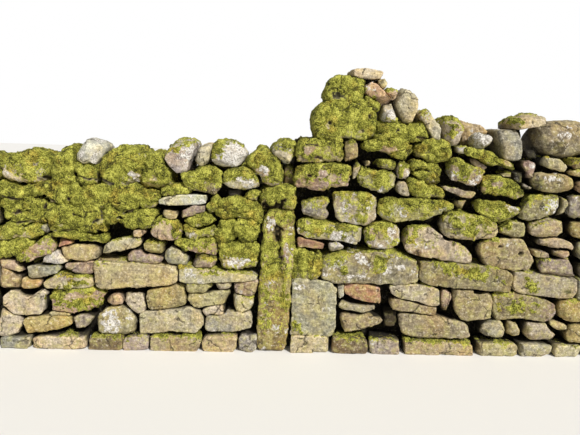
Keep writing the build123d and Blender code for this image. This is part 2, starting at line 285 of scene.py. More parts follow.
def open_ends(flat, depth, full, bulge, taper, half):
    """A stone that shows at both ends: its points on the face, and their depths."""
    inward = np.clip(depth / full, 0, 1)
    shrink = 1 - taper * (np.clip(inward / FAR_PART - FAR_PART, 0, 1) ** 1.5
                          + 0.5 * np.clip(1 - inward / NEAR_PART, 0, 1) ** 2)
    flat = np.stack([flat[:, 0] * shrink, (flat[:, 1] + half[1]) * shrink - half[1]], 1)
    return flat, depth - bulge * np.where(inward < 0.5, 1, -1)


# %% [markdown]
# The stoop has a cleft in its face, and the stone on its head a hollow. Such a dent is an upright
# box on the face, and noise pushes its edges about, so that none looks cut with a chisel.

# %% Dents
WANDER, WANDER_SCALE = 0.028, 26.0
DENT_OUT, DENT_SIDE, DENT_END = 0.004, 0.006, 0.008


def edge_of(value, line, soft):
    """0 outside a dent's edge and 1 inside."""
    return smooth_step(value, line - DENT_OUT, line + soft)


def cut_dents(flat, depth, dents):
    """The points' depths with the dents cut, and how far each point lies in one. A dent is its left,
    top, right and bottom on the face, and how deep it goes."""
    hollow = np.zeros(len(flat))
    if dents:
        wander = fractal(np.stack([flat[:, 0], hollow, flat[:, 1]], 1), WANDER_SCALE)
        east, north = (flat + WANDER * wander[:, None]).T
    for (left, top, right, bottom), deep in dents:
        inside = (edge_of(east, left, DENT_SIDE) * edge_of(-east, -right, DENT_SIDE)
                  * edge_of(north, bottom, DENT_END) * edge_of(-north, -top, DENT_END))
        hollow = np.maximum(hollow, inside * (depth < deep))
        depth = depth + deep * inside * (depth < deep)
    return depth, hollow


# %% [markdown]
# Frost and the hammer take chips off a stone's corners. Each chip is a plane that cuts the face's
# rim, and whatever stands over it is pressed down onto it.

# %% Chips
CHIPS, CHIP_SLOPE, CHIP_SHARE = (3, 6), (0.6, 2.2), (0.4, 1.5)


def chip_corners(places, half, chip, luck):
    """The places with a few chips off, each about as deep as chip says."""
    heart = places.mean(0)
    for _ in range(luck.integers(*CHIPS)):
        turn = luck.uniform(0, 2 * np.pi)
        plane = np.array([np.cos(turn) * half[0], -0.5 * half.min() * luck.uniform(*CHIP_SLOPE),
                          np.sin(turn) * half[1]])
        plane /= np.linalg.norm(plane)
        over = (places - heart) @ plane
        over = np.maximum(over - over.max() + chip * luck.uniform(*CHIP_SHARE), 0)
        places = places - over[:, None] * plane
    return places


# %% [markdown]
# A mark is a place on the wall with looks of its own, such as a bare patch in the moss or one end of
# another colour. It is an oval with a ragged edge, and each point of a stone has a share of it.

# %% Shares of a mark
MARK_REACH, MARK_RAGGED, MARK_EDGE = 1.20, 0.90, 0.75


def mark_share(place, across, up, turn, flat, rough):
    """How far each point of a stone lies under a mark, from 0 to 1."""
    east, north = (flat - place).T
    reach = np.hypot((east * np.cos(turn) + north * np.sin(turn)) / across,
                     (north * np.cos(turn) - east * np.sin(turn)) / up)
    return smooth_step(MARK_REACH - reach + MARK_RAGGED * rough, 0.0, MARK_EDGE)


def shares_of(marks, flat, middle, half, rough):
    """The points' shares of each kind of mark, from the marks that come near the stone."""
    shares = {}
    for kind, place, across, up, turn in marks:
        if np.all(np.abs(np.array(place) - middle) < half + max(across, up)):
            share = mark_share(place, across, up, turn, flat, rough)
            shares[kind] = np.maximum(shares.get(kind, 0.0), share)
    return shares


# %% [markdown]
# Moss is thickest on what looks up and on the upper part of a stone. It hides the broken planes of
# the rock under its own lumps and tufts, which creases split.

# %% Moss and relief
MOSS_START, MOSS_GAIN = -0.22, 1.25
MOSS_DEPTH, CREASE_DEPTH, HOLE_DEPTH = 0.012, 0.012, 0.020
CREASE_WIDTH, BREAK_SCALE = 0.09, 13.0


def moss_on(moss, coarse, fine, height, upward):
    """How mossy each point is: none below about 0.4, and a full cushion above 0.6."""
    if moss <= 0:
        return np.zeros(len(height))
    return (moss * MOSS_GAIN + MOSS_START + 0.42 * coarse + 0.20 * fine + 0.22 * height
            + 0.30 * np.clip(upward, -0.4, 1))


def relief_of(form, places, shift, coarse, fine, soft):
    """How far each point stands out of the stone's plain shape. soft is 1 on moss and 0 on rock."""
    tuft = fractal(places, 70.0, shift)
    crease = smooth_step(CREASE_WIDTH - np.abs(fractal(places, 10.0, shift + 5)), 0.0, CREASE_WIDTH)
    broken = broken_planes(places, BREAK_SCALE, shift)
    return (form["lumps"] * (coarse * 1.3 + fine * 0.70) + form["breaks"] * broken * (1 - soft)
            + soft * MOSS_DEPTH * (0.50 + 0.50 * coarse + 0.60 * tuft) - soft * CREASE_DEPTH * crease)


# %% [markdown]
# Each point keeps two colours for the material to read. Its tint is the rock's own colour, paler on
# the worn arris and on lumps. Its cover is how much moss and lichen lie there, and how dark soil and
# painted shade make it, as the red, green and blue of a colour.

# %% What the material reads
SHADE_LUCK, HUE_LUCK = (0.88, 1.12), (-0.05, 0.05)
DARKEST, LIGHTEST = 0.01, 0.85
JOINT_SOIL_AND_SHADE, THROUGH_SOIL_AND_SHADE = (0.009, 0.055), (0.03, 0.16)  # the depths where soil and painted shade start and are full


def tint_of(look, shares, worn, coarse, fine, luck):
    """The rock's own colour at each point, with another one where a mark says so."""
    shade = look["tone"] * luck.uniform(*SHADE_LUCK)
    rock = np.tile(TINTS[look["tint"]], (len(worn), 1))
    for kind in TINTS:
        if kind in shares:
            rock = rock + (np.array(TINTS[kind]) - rock) * shares[kind][:, None]
    light = 1 + 0.30 * worn + 0.18 * coarse + 0.12 * fine
    rock = rock * (1 + luck.uniform(*HUE_LUCK, 3)) * (shade * light)[:, None]
    tint = np.ones((len(worn), 4))
    tint[:, :3] = np.clip(rock, DARKEST, LIGHTEST)
    return tint


def soil_and_shade_on(depth, full, closed_tail, upward):
    """How dark soil and painted shade make each point: in joints, and beside and under what goes through."""
    if closed_tail:
        return smooth_step(depth, *JOINT_SOIL_AND_SHADE)
    return 0.6 * smooth_step(np.minimum(depth, full - depth), *THROUGH_SOIL_AND_SHADE) * (1 - np.clip(2 * upward, 0, 1))


# %% [markdown]
# Now the carver itself, which takes a cube through these steps. A thick blanket of moss bridges the
# joints, so a mossy stone is carved a little larger than its outline. The order of the steps matters,
# because they draw from one stream of luck: the same seed always carves the same stone.

# %% Carve a stone
PLAIN = dict(moss=0.0, lichen=0.0, wear=1.0, taper=0.0, set_back=0.0, tone=1.0)
MOSS_BRIDGE, BLANKET_BRIDGE = 0.005, 0.012
FEWEST_CELLS, MOST_CELLS = 4, 70


def carve(outline, look, seed, step, rings, to_wall, limits, closed_tail=True, behind=False, dents=(),
          marks=()):
    """The mesh of one stone. rings are its depths from the face, and to_wall places (x, z, depth)."""
    look, luck = PLAIN | look, np.random.default_rng(seed)
    form, full = FORMS[look["form"]], rings[-1]
    middle, half, reach = reach_of(np.array(outline), form["corner"])
    half = half + (MOSS_BRIDGE * smooth_step(look["moss"], 0.75, 0.95)
                   + BLANKET_BRIDGE * smooth_step(look["moss"], 0.96, 1.0))

    # the cube's points become a direction, a share of the way to the rim, and a depth
    across, up = (int(np.clip(round(2 * h / step), FEWEST_CELLS, MOST_CELLS)) for h in half)
    template, cell = cube_of(across, up, len(rings) - 1, closed_tail)
    angle = np.arctan2(cell[:, 2], cell[:, 0])
    way = np.stack([np.cos(angle), np.sin(angle)], 1) * reach(angle)[:, None] * half
    rim = np.hypot(way[:, 0], way[:, 1])
    square = np.maximum(np.abs(cell[:, 0]), np.abs(cell[:, 2]))
    depth = np.interp((cell[:, 1] + 1) / 2 * (len(rings) - 1), np.arange(len(rings)), rings)

    # its shape: the arris, the bulge of the face, the tail or the far end, dents and chips
    radius = arris_of(form, look["wear"], half, angle, luck)
    end = depth if closed_tail else np.minimum(depth, full - depth)
    square, end, worn = round_arris(radius, square, rim, end)
    depth = end if closed_tail else np.where(depth <= full / 2, end, full - end)
    flat = way * square[:, None]
    bulge = form["bulge"] * (1 - square ** 2) * luck.uniform(0.6, 1.3)
    lean = luck.normal(0, FACE_LEAN, 2)
    if closed_tail:
        flat, depth = hidden_tail(flat, depth, full, bulge, look["set_back"], lean, luck)
    else:
        flat, depth = open_ends(flat, depth, full, bulge, look["taper"], half)
    flat = flat + middle
    depth, hollow = cut_dents(flat, depth, dents)
    places = chip_corners(to_wall(flat[:, 0], flat[:, 1], depth), half, form["chip"], luck)

    # its surface: lumps, breaks and moss, along the surface's own directions
    mesh = template.copy()
    mesh.vertices.foreach_set("co", places.ravel())
    mesh.update()
    outward = np.empty(places.size)
    mesh.vertex_normals.foreach_get("vector", outward)
    outward = outward.reshape(-1, 3)
    shift = luck.uniform(0, 50, 3)
    coarse, fine = fractal(places, 9.0, shift), fractal(places, 34.0, shift, 3)
    shares = shares_of(marks, flat, middle, half, 1.2 * fine + 0.5 * coarse)
    bare, hole = shares.get("bare", 0.0), shares.get("hole", 0.0)
    field = moss_on(look["moss"], coarse, fine, (flat[:, 1] - middle[1]) / half[1], outward[:, 2])
    field = field + 0.90 * shares.get("moss", 0.0) - 0.75 * bare - hollow - 1.2 * hole
    rise = relief_of(form, places, shift, coarse, fine, smooth_step(field, 0.35, 0.62)) - HOLE_DEPTH * hole
    places = np.clip(places + outward * rise[:, None], *limits)
    if behind:
        places = places * (1, -1, 1)
        mesh.flip_normals()
    mesh.vertices.foreach_set("co", places.ravel())

    # its colours
    tint = tint_of(look, shares, worn, coarse, fine, luck)
    # soil and painted shade: deep joints, dents and holes are darkened near to black, as the shade in them
    soil_and_shade = np.maximum(soil_and_shade_on(depth, full, closed_tail, outward[:, 2]), 0.95 * np.maximum(hollow, hole))
    lichen = (look["lichen"] * (0.75 + 0.6 * fractal(places, 12.0, shift + 9))
              + 0.70 * shares.get("lichen", 0.0))
    cover = np.stack([np.clip(field, 0, 1), np.clip(lichen, 0, 1), soil_and_shade, np.ones(len(places))], 1)
    mesh.attributes["tint"].data.foreach_set("color", tint.ravel())
    mesh.attributes["cover"].data.foreach_set("color", cover.ravel())
    mesh.update()
    return mesh


# %% [markdown]
# ## Weathered rock, lichen and moss
# Every finish here is the same three layers: sandstone with its grain and its stains, a crust of
# white lichen in patches and rings, and moss. Each layer is a node group, built once and placed in
# every material with that material's own values. The rock's own colour and the places of the moss
# and the lichen are read from the attributes that the carver wrote, because they belong to each
# stone. A noise's scale counts lumps to the metre: 6 is a stain as wide as a stone, 160 is grit.

# %% Node helpers
def new_group(name, inputs, outputs):
    """A node group with named inputs and outputs, and its two ends."""
    tree = bpy.data.node_groups.new(name, "ShaderNodeTree")
    for label, kind in inputs.items():
        tree.interface.new_socket(label, in_out="INPUT", socket_type="NodeSocket" + kind)
    for label, kind in outputs.items():
        tree.interface.new_socket(label, in_out="OUTPUT", socket_type="NodeSocket" + kind)
    return tree, tree.nodes.new("NodeGroupInput").outputs, tree.nodes.new("NodeGroupOutput").inputs


def add_node(tree, kind, inputs=None, **settings):
    """A node with its settings made and its inputs set or linked."""
    made = tree.nodes.new("ShaderNode" + kind)
    for label, value in settings.items():
        setattr(made, label, value)
    for label, value in (inputs or {}).items():
        if isinstance(value, bpy.types.NodeSocket):
            tree.links.new(value, made.inputs[label])
        else:
            made.inputs[label].default_value = value
    return made


def lead(output, socket):
    """Link an output to a socket of the same tree."""
    socket.id_data.links.new(output, socket)


# %% [markdown]
# The patterns are built from a few kinds of node. A socket's id_data is the tree that it is in, so
# these helpers need no tree: they add their node beside the node that their value comes from.

# %% Pattern helpers
def tree_of(*values):
    """The tree of the first socket among some values, of which the others are plain numbers."""
    return next(value.id_data for value in values if isinstance(value, bpy.types.NodeSocket))


def clouds(place, scale, detail=3.0, rough=0.6):
    """Soft noise from 0 to 1."""
    return add_node(place.id_data, "TexNoise", {"Vector": place, "Scale": scale, "Detail": detail,
                                                "Roughness": rough}).outputs["Fac"]


def step_up(value, low, high):
    """0 below low and 1 above high."""
    return add_node(value.id_data, "MapRange", {"Value": value, "From Min": low, "From Max": high},
                    interpolation_type="SMOOTHSTEP").outputs["Result"]


def span(value, low, high, start, end):
    """A straight change from start at low to end at high."""
    return add_node(value.id_data, "MapRange", {"Value": value, "From Min": low, "From Max": high,
                                                "To Min": start, "To Max": end}).outputs["Result"]


def maths(operation, first, second):
    """Two values put together by a Math node."""
    return add_node(tree_of(first, second), "Math", {0: first, 1: second}, operation=operation).outputs[0]


times, plus, minus, larger = (partial(maths, kind) for kind in ("MULTIPLY", "ADD", "SUBTRACT", "MAXIMUM"))


def weigh(first, *others):
    """The sum of some patterns, each given with its weight."""
    total = times(*first)
    for pattern, weight in others:
        total = plus(total, times(pattern, weight))
    return total


def scaled(vector, factor):
    """A vector or a colour times a number."""
    return add_node(vector.id_data, "VectorMath", {0: vector, "Scale": factor}, operation="SCALE").outputs[0]


def blend_colours(factor, first, second, kind="MIX"):
    """Two colours mixed. They are inputs 6 and 7 of the node, and its colour is output 2."""
    return add_node(tree_of(factor, first, second), "Mix", {0: factor, 6: first, 7: second},
                    data_type="RGBA", blend_type=kind).outputs[2]


# %% [markdown]
# Sandstone cracks, and old moss splits, along crooked lines. A Voronoi pattern's distance to its
# edges gives such lines once its coordinates are pushed about by noise, and a broad mask leaves
# only some of them.

# %% The crack group
PUSH = 0.075
crack_tree, given, taken = new_group(
    "crooked_cracks", {"Place": "Vector", "Scale": "Float", "Width": "Float", "Share": "Float"},
    {"Mask": "Float"})
place = given["Place"]
push = add_node(crack_tree, "TexNoise", {"Vector": place, "Scale": 14.0, "Detail": 4.0, "Roughness": 0.7})
push = scaled(push.outputs["Color"], PUSH)
pushed = add_node(crack_tree, "VectorMath", {0: place, 1: push}, operation="ADD").outputs[0]
cells = add_node(crack_tree, "TexVoronoi", {"Vector": pushed, "Scale": given["Scale"]},
                 feature="DISTANCE_TO_EDGE").outputs["Distance"]
line = minus(1.0, step_up(cells, 0.0, given["Width"]))
kept = maths("LESS_THAN", clouds(place, 9.0, 2.0), given["Share"])
lead(times(line, kept), taken["Mask"])
print("crack group:", len(crack_tree.nodes), "nodes")

# %% [markdown]
# The rock's colour is warmed in broad stains, filmed with green, and then shaded by blotches, grain,
# grit and beds, which are noise drawn out flat. Pale flecks lie over that, then pits and cracks painted
# dark as shade, and soil, which also carries the painted shade of the joints.

# %% The rock group
WARM, FILM, FLECK = (1.10, 0.97, 0.76, 1), (0.27, 0.26, 0.085, 1), (0.70, 0.66, 0.54, 1)
PIT_SHADE, EARTH_AND_SHADE = (0.045, 0.035, 0.020, 1), (0.010, 0.008, 0.005, 1)
FLAT_BEDS = (5.0, 5.0, 55.0)
rock_tree, given, taken = new_group(
    "weathered_rock", {"Place": "Vector", "Rock": "Color", "Stains": "Float", "SoilAndShade": "Float"},
    {"Color": "Color", "Height": "Float"})
place = given["Place"]
broad = clouds(place, 6.0)
blotch = clouds(place, 24.0, 5.0, 0.62)
grain = clouds(place, 62.0, 4.0, 0.75)
grit = clouds(place, 160.0, 3.0, 0.7)
layers = add_node(rock_tree, "Mapping", {"Vector": place, "Scale": FLAT_BEDS}).outputs["Vector"]
beds = clouds(layers, 1.0, 4.0, 0.65)
cracks = add_node(rock_tree, "Group", {"Place": place, "Scale": 5.0, "Width": 0.035, "Share": 0.45},
                  node_tree=crack_tree).outputs["Mask"]
warm = blend_colours(1.0, given["Rock"], WARM, "MULTIPLY")
colour = blend_colours(step_up(broad, 0.40, 0.66), given["Rock"], warm)
colour = blend_colours(times(step_up(blotch, 0.44, 0.62), given["Stains"]), colour, FILM)
shade = span(blotch, 0.30, 0.70, 0.52, 1.44)
for pattern, least, most in ((grain, 0.52, 1.42), (grit, 0.66, 1.34), (beds, 0.80, 1.18)):
    shade = times(shade, span(pattern, 0.30, 0.70, least, most))
shaded = blend_colours(times(step_up(grain, 0.57, 0.66), 0.62), scaled(colour, shade), FLECK)
# pits and cracks are painted dark, as the shade that would lie in them
pit_shade = minus(1.0, step_up(grain, 0.32, 0.38))
colour = blend_colours(larger(times(pit_shade, 0.70), times(cracks, 0.85)), shaded, PIT_SHADE)
# soil, and the painted shade of joints and recesses, darken the rock near to black
lead(blend_colours(times(given["SoilAndShade"], 0.96), colour, EARTH_AND_SHADE), taken["Color"])
relief = weigh((grain, 0.8), (beds, 0.5), (blotch, 0.7))
lead(minus(relief, times(cracks, 0.5)), taken["Height"])
print("rock group:", len(rock_tree.nodes), "nodes")

# %% [markdown]
# Lichen is a thin crust. It spreads from many starts at once, so its mask is noise cut off at a
# level that falls as there is more of it. Where it is thick, some old ones have died in the middle
# and leave a broken ring, which a Voronoi pattern's distance gives once noise has bent it.

# %% The lichen group
OLD_CRUST, NEW_CRUST = (0.25, 0.22, 0.18, 1), (0.76, 0.73, 0.67, 1)
lichen_tree, given, taken = new_group(
    "lichen", {"Place": "Vector", "Amount": "Float"}, {"Mask": "Float", "Color": "Color"})
place = given["Place"]
crust = clouds(place, 48.0, 6.0, 0.80)
patch = clouds(place, 13.0)
level = span(given["Amount"], 0.0, 1.0, 0.70, 0.445)
crusted = step_up(minus(weigh((crust, 0.62), (patch, 0.38)), level), 0.0, 0.045)
starts = add_node(lichen_tree, "TexVoronoi", {"Vector": place, "Scale": 12.0})
bent = plus(starts.outputs["Distance"], span(crust, 0.0, 1.0, -0.22, 0.22))
ring = times(step_up(bent, 0.15, 0.24), minus(1.0, step_up(bent, 0.33, 0.40)))
ring = times(ring, step_up(crust, 0.38, 0.52))
pick = add_node(lichen_tree, "SeparateColor", {"Color": starts.outputs["Color"]}).outputs["Red"]
ring = times(ring, step_up(plus(pick, given["Amount"]), 1.22, 1.30))
lead(larger(crusted, ring), taken["Mask"])
speckle = clouds(place, 95.0, 3.0, 0.7)
lead(blend_colours(step_up(speckle, 0.38, 0.56), OLD_CRUST, NEW_CRUST), taken["Color"])
print("lichen group:", len(lichen_tree.nodes), "nodes")

# %% [markdown]
# Moss is a carpet of tufts: olive stems and yellow-green tips, brown where it dries, split by creases.
# The gaps and creases are painted dark as shade, and the brightest tips are partly a painted highlight.
# Where it ends, it ends in tufts too, so fine noise is added to its mask before the cut.

# %% The moss group
# the ramp runs from painted shade in the gaps, through the moss's own olive, to tips that are partly a
# painted highlight
MOSS_STOPS_WITH_SHADE_AND_HIGHLIGHT = ((0.425, (0.020, 0.022, 0.004, 1)), (0.475, (0.140, 0.142, 0.018, 1)),
              (0.520, (0.312, 0.316, 0.043, 1)), (0.575, (0.695, 0.680, 0.142, 1)))
DRIED, MOSS_GAP_SHADE = (1.14, 0.80, 0.72, 1), (0.018, 0.016, 0.005, 1)
moss_tree, given, taken = new_group(
    "moss", {"Place": "Vector", "Field": "Float", "Ragged": "Float"},
    {"Mask": "Float", "Color": "Color", "Height": "Float"})
place = given["Place"]
tufts = clouds(place, 165.0, 4.0, 0.78)
knots = clouds(place, 46.0, 3.0, 0.65)
clumps = clouds(place, 19.0, 4.0)
dry = clouds(place, 8.0, 5.0, 0.65)
splits = add_node(moss_tree, "Group", {"Place": place, "Scale": 8.0, "Width": 0.050, "Share": 0.47},
                  node_tree=crack_tree).outputs["Mask"]
ragged = plus(span(tufts, 0.0, 1.0, -0.30, 0.30), span(knots, 0.0, 1.0, -0.45, 0.45))
ragged = times(ragged, given["Ragged"])
lead(step_up(plus(given["Field"], ragged), 0.42, 0.50), taken["Mask"])
tone = weigh((tufts, 0.62), (clumps, 0.26), (knots, 0.12))
ramp = add_node(moss_tree, "ValToRGB", {"Fac": tone})
stops = ramp.color_ramp.elements
for at, shade in MOSS_STOPS_WITH_SHADE_AND_HIGHLIGHT:
    stops.new(at).color = shade
stops.remove(stops[-1])  # the black and the white stop that a new ramp has
stops.remove(stops[0])
browned = times(step_up(dry, 0.50, 0.68), 0.60)
colour = blend_colours(browned, ramp.outputs["Color"], DRIED, "MULTIPLY")
# painted shade in the gaps between knots and in the splits, which also sink the bump
shaded_gaps = minus(1.0, step_up(knots, 0.29, 0.34))
shaded_gaps = times(larger(shaded_gaps, splits), 0.88)
lead(blend_colours(shaded_gaps, colour, MOSS_GAP_SHADE), taken["Color"])
lead(minus(tone, times(shaded_gaps, 0.12)), taken["Height"])
print("moss group:", len(moss_tree.nodes), "nodes")

# %% [markdown]
# The material itself stacks the three layers. Moss is rougher and deeper than rock, so it also has
# the larger share of the bump. The finishes differ in how much green film the stone has, how rough
# it is to the touch, and how ragged its moss ends.

# %% Finishes
ROCK_ROUGHNESS, MOSS_ROUGHNESS, GLOSS = 0.86, 0.97, 0.25
BUMP_DISTANCE, MOSS_BUMP = 0.014, 2.2


def rock_finish(slot, stains, bump=0.55, ragged=1.4):
    """A material of weathered rock with its own green film, relief and edge of the moss."""
    material = bpy.data.materials.new(slot)
    material.use_nodes = True
    tree = material.node_tree
    shader = tree.nodes["Principled BSDF"].inputs
    place = add_node(tree, "TexCoord").outputs["Object"]
    tint, cover = (add_node(tree, "Attribute", attribute_name=label).outputs["Color"]
                   for label in ("tint", "cover"))
    cover = add_node(tree, "SeparateColor", {"Color": cover}).outputs
    rock = add_node(tree, "Group", {"Place": place, "Rock": tint, "Stains": stains, "SoilAndShade": cover["Blue"]},
                    node_tree=rock_tree).outputs
    lichen = add_node(tree, "Group", {"Place": place, "Amount": cover["Green"]},
                      node_tree=lichen_tree).outputs
    moss = add_node(tree, "Group", {"Place": place, "Field": cover["Red"], "Ragged": ragged},
                    node_tree=moss_tree).outputs
    colour = blend_colours(lichen["Mask"], rock["Color"], lichen["Color"])
    lead(blend_colours(moss["Mask"], colour, moss["Color"]), shader["Base Color"])
    lead(span(moss["Mask"], 0.0, 1.0, ROCK_ROUGHNESS, MOSS_ROUGHNESS), shader["Roughness"])
    height = add_node(tree, "Mix", {0: moss["Mask"], 2: rock["Height"],
                                    3: times(moss["Height"], MOSS_BUMP)}).outputs[0]
    relief = add_node(tree, "Bump", {"Height": height, "Strength": bump, "Distance": BUMP_DISTANCE})
    lead(relief.outputs["Normal"], shader["Normal"])
    shader["Specular IOR Level"].default_value = GLOSS
    return material


FINISHES = {
    "walling_stone": dict(stains=0.55), "cope_stone": dict(stains=0.28), "through_stone": dict(stains=0.45),
    "footing_stone": dict(stains=0.60), "stoop_stone": dict(stains=0.50, ragged=2.2),
    "pale_slab_stone": dict(stains=0.45, bump=0.45), "hearting_stone": dict(stains=0.30, bump=0.80),
}
finishes = {slot: rock_finish(slot, **values) for slot, values in FINISHES.items()}
print("finishes:", ", ".join(finishes))

# %% [markdown]
# ## From stones to pieces
# The stones of one lift make one piece, so that the piece can stand for the CAD node whose space it
# fills. They are joined in a bmesh, which keeps each stone closed, and the piece rides on the wall's
# only body.

# %% Join the stones of a piece
pieces = {}


def triangles_in(mesh):
    """How many triangles a mesh's faces make."""
    return sum(len(p.vertices) - 2 for p in mesh.polygons)


def join(name, stones, node, slot):
    """Make one object of these stones, which stands for a CAD node and has a material slot's finish."""
    bm = bmesh.new()
    for stone in stones:
        bm.from_mesh(stone)
    mesh = bpy.data.meshes.new(name)
    bm.to_mesh(mesh)
    bm.free()
    for stone in stones:
        bpy.data.meshes.remove(stone)
    piece = bpy.data.objects.new(name, mesh)
    bpy.context.scene.collection.objects.link(piece)
    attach(piece, "root")
    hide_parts(node)
    piece.data.materials.append(finishes[slot])
    pieces[name] = piece
    print(f"{name}: {len(stones)} stones, {triangles_in(mesh)} triangles")

# %% [markdown]
# ## The survey of the two faces
# The wall is drawn the way a recorder of field walls draws it: each face stone by its outline in the
# picture, corner by corner, with its rock, its form and how much moss and lichen it carries, from 0
# to 1. Copying the same few stones would be quicker, but a dry wall is looked at for how its odd
# stones fit. Each row is rock, form, moss, lichen, outline, and sometimes how far it is set back.

# %% Face stones of the left stretch
LEFT_LOWER = [
    ("grey", "block", 0.1, 0.2, [(-56, 293), (-30, 292), (-6, 293), (-4, 303), (-6, 313), (-30, 314),
     (-56, 313)]),
    ("tan", "block", 0.0, 0.2, [(-60, 316), (-28, 315), (-27, 337), (-60, 338)]),
    ("ochre", "round", 0.0, 0.1, [(-24, 316), (-4, 316), (-3, 326), (-5, 338), (-24, 337)]),
    ("light", "block", 0.0, 0.1, [(0, 300), (5, 294), (10, 291), (18, 291.5), (22, 296), (27, 297.5),
     (33, 297), (38, 292), (42, 289), (47, 293.5), (45, 300), (44, 311), (40, 315), (20, 316), (12, 313),
     (0, 307)]),
    ("light", "block", 0.0, 0.3, [(-1, 309), (8, 313), (18, 317), (22, 321), (21, 327), (17, 337), (10, 339),
     (-1, 338)]),
    ("pink", "block", 0.42, 0.3, [(48, 294), (60, 291), (75, 289), (93, 286.5), (100, 290), (106, 292),
     (103, 297), (100, 306), (88, 310), (76, 313), (60, 312), (48, 309.5)]),
    ("ochre", "block", 0.0, 0.0, [(24, 318), (45, 316.5), (64, 316), (71, 319), (71, 327), (60, 330),
     (40, 332), (24, 333)]),
    ("tan", "slab", 0.0, 0.0, [(49, 312), (62, 313), (74, 314.5), (70, 316), (50, 316)]),
    ("purple", "block", 0.0, 0.0, [(72, 320), (76, 316), (83, 315), (93, 318), (93, 321), (88, 326),
     (82, 328.5), (74, 328)]),
    ("tan", "round", 0.0, 0.62, [(94, 322), (97, 316), (103, 310), (110, 307), (118, 306.5), (125, 307),
     (131, 312), (136, 319), (137, 330), (134, 337), (120, 339.5), (106, 339.5), (98, 335), (94, 328)]),
    ("pink", "round", 0.0, 0.2, [(103, 302), (106, 298), (112, 294.5), (118, 293.5), (122, 296), (124, 302),
     (122, 305.5), (110, 305.5), (105, 304.5)]),
    ("light", "block", 0.0, 0.1, [(123, 294.5), (130, 294), (143, 294), (146, 311), (140, 313.5), (137, 314),
     (132, 310), (126, 302), (124, 299)]),
    ("olive", "block", 0.0, 0.2, [(146, 290.5), (155, 289.5), (173, 286.5), (175, 284), (180, 283.5),
     (185.5, 286), (186, 295), (187, 304), (180, 308), (160, 310), (148, 310.5)]),
    ("light", "block", 0.0, 0.15, [(137, 318), (140, 314), (146, 311.5), (160, 310.5), (180, 309), (189, 306),
     (196, 310), (201, 310), (204, 317), (204.5, 325), (200, 329), (196, 331), (180, 331.5), (170, 331),
     (160, 333), (140, 335), (138, 332)]),
    ("olive", "block", 0.12, 0.1, [(187, 282), (190, 280.5), (200, 280), (210, 280.5), (213, 282),
     (212.5, 290), (204, 293), (188, 292), (186, 288)]),
    ("purple", "round", 0.0, 0.15, [(214, 282), (218, 279.5), (224, 278), (233, 278.5), (234.5, 282),
     (232, 287), (227, 289.5), (219, 290.5), (214, 287)]),
    ("purple", "block", 0.0, 0.3, [(235, 279.5), (245, 278), (257, 276), (258.5, 278), (258, 290), (255, 294),
     (248, 297), (240, 294.5), (233, 292), (234, 285)]),
    ("tan", "block", 0.0, 0.2, [(187, 294), (200, 294), (215, 291.5), (230.5, 291), (231, 295), (227, 302),
     (225, 305), (215, 305), (205, 307.5), (199, 309), (192, 306), (188, 303), (186, 297)]),
    ("light", "block", 0.22, 0.35, [(232.5, 293.5), (238, 295), (246, 297), (254, 298), (254.5, 302),
     (254, 309), (249, 311), (240, 313), (236, 311), (233, 307), (231.5, 301)]),
    ("light", "slab", 0.0, 0.2, [(202, 310), (208, 308), (216, 306), (223, 307), (225, 310), (225, 314),
     (215, 315), (205, 316), (202.5, 314)]),
    ("grey", "block", 0.0, 0.45, [(206, 317), (216, 316), (225, 314.5), (227, 310), (236, 312.5), (244, 314),
     (250, 312.5), (252, 317), (253, 322), (251, 328), (238, 331), (220, 332), (210, 331.5), (205.5, 329),
     (205, 321)]),
]
LEFT_FILLING = [
    ("pink", "block", 0.0, 0.0, [(-2, 258), (9, 256), (15, 257.5), (17, 264), (24, 272), (18, 272),
     (-2, 264.5)]),
    ("tan", "block", 0.15, 0.2, [(-2, 266), (4, 267), (19, 277), (18, 285), (16, 291), (5, 290), (-2, 292)]),
    ("ochre", "round", 0.0, 0.0, [(18, 281), (24, 277), (28, 279), (40, 280), (41, 284), (37, 292), (31, 297),
     (24, 297), (19, 293), (17.5, 286)]),
    ("grey", "block", 0.1, 0.2, [(26, 266.5), (34, 264.5), (46, 267), (59, 265.5), (61, 268), (58, 272),
     (48, 276), (40, 278), (27, 278.5)]),
    ("purple", "block", 0.0, 0.15, [(62, 268), (66, 264), (70, 261), (93, 261), (98, 266), (94, 273),
     (84, 275), (72, 275), (65, 272)]),
    ("light", "block", 0.26, 0.35, [(41, 284), (44, 281.5), (50, 279.5), (57, 275), (62, 273), (74, 277),
     (80, 276), (87, 276), (92, 279.5), (94, 284), (93, 288), (70, 291), (52, 293), (45, 291), (41, 287)]),
]
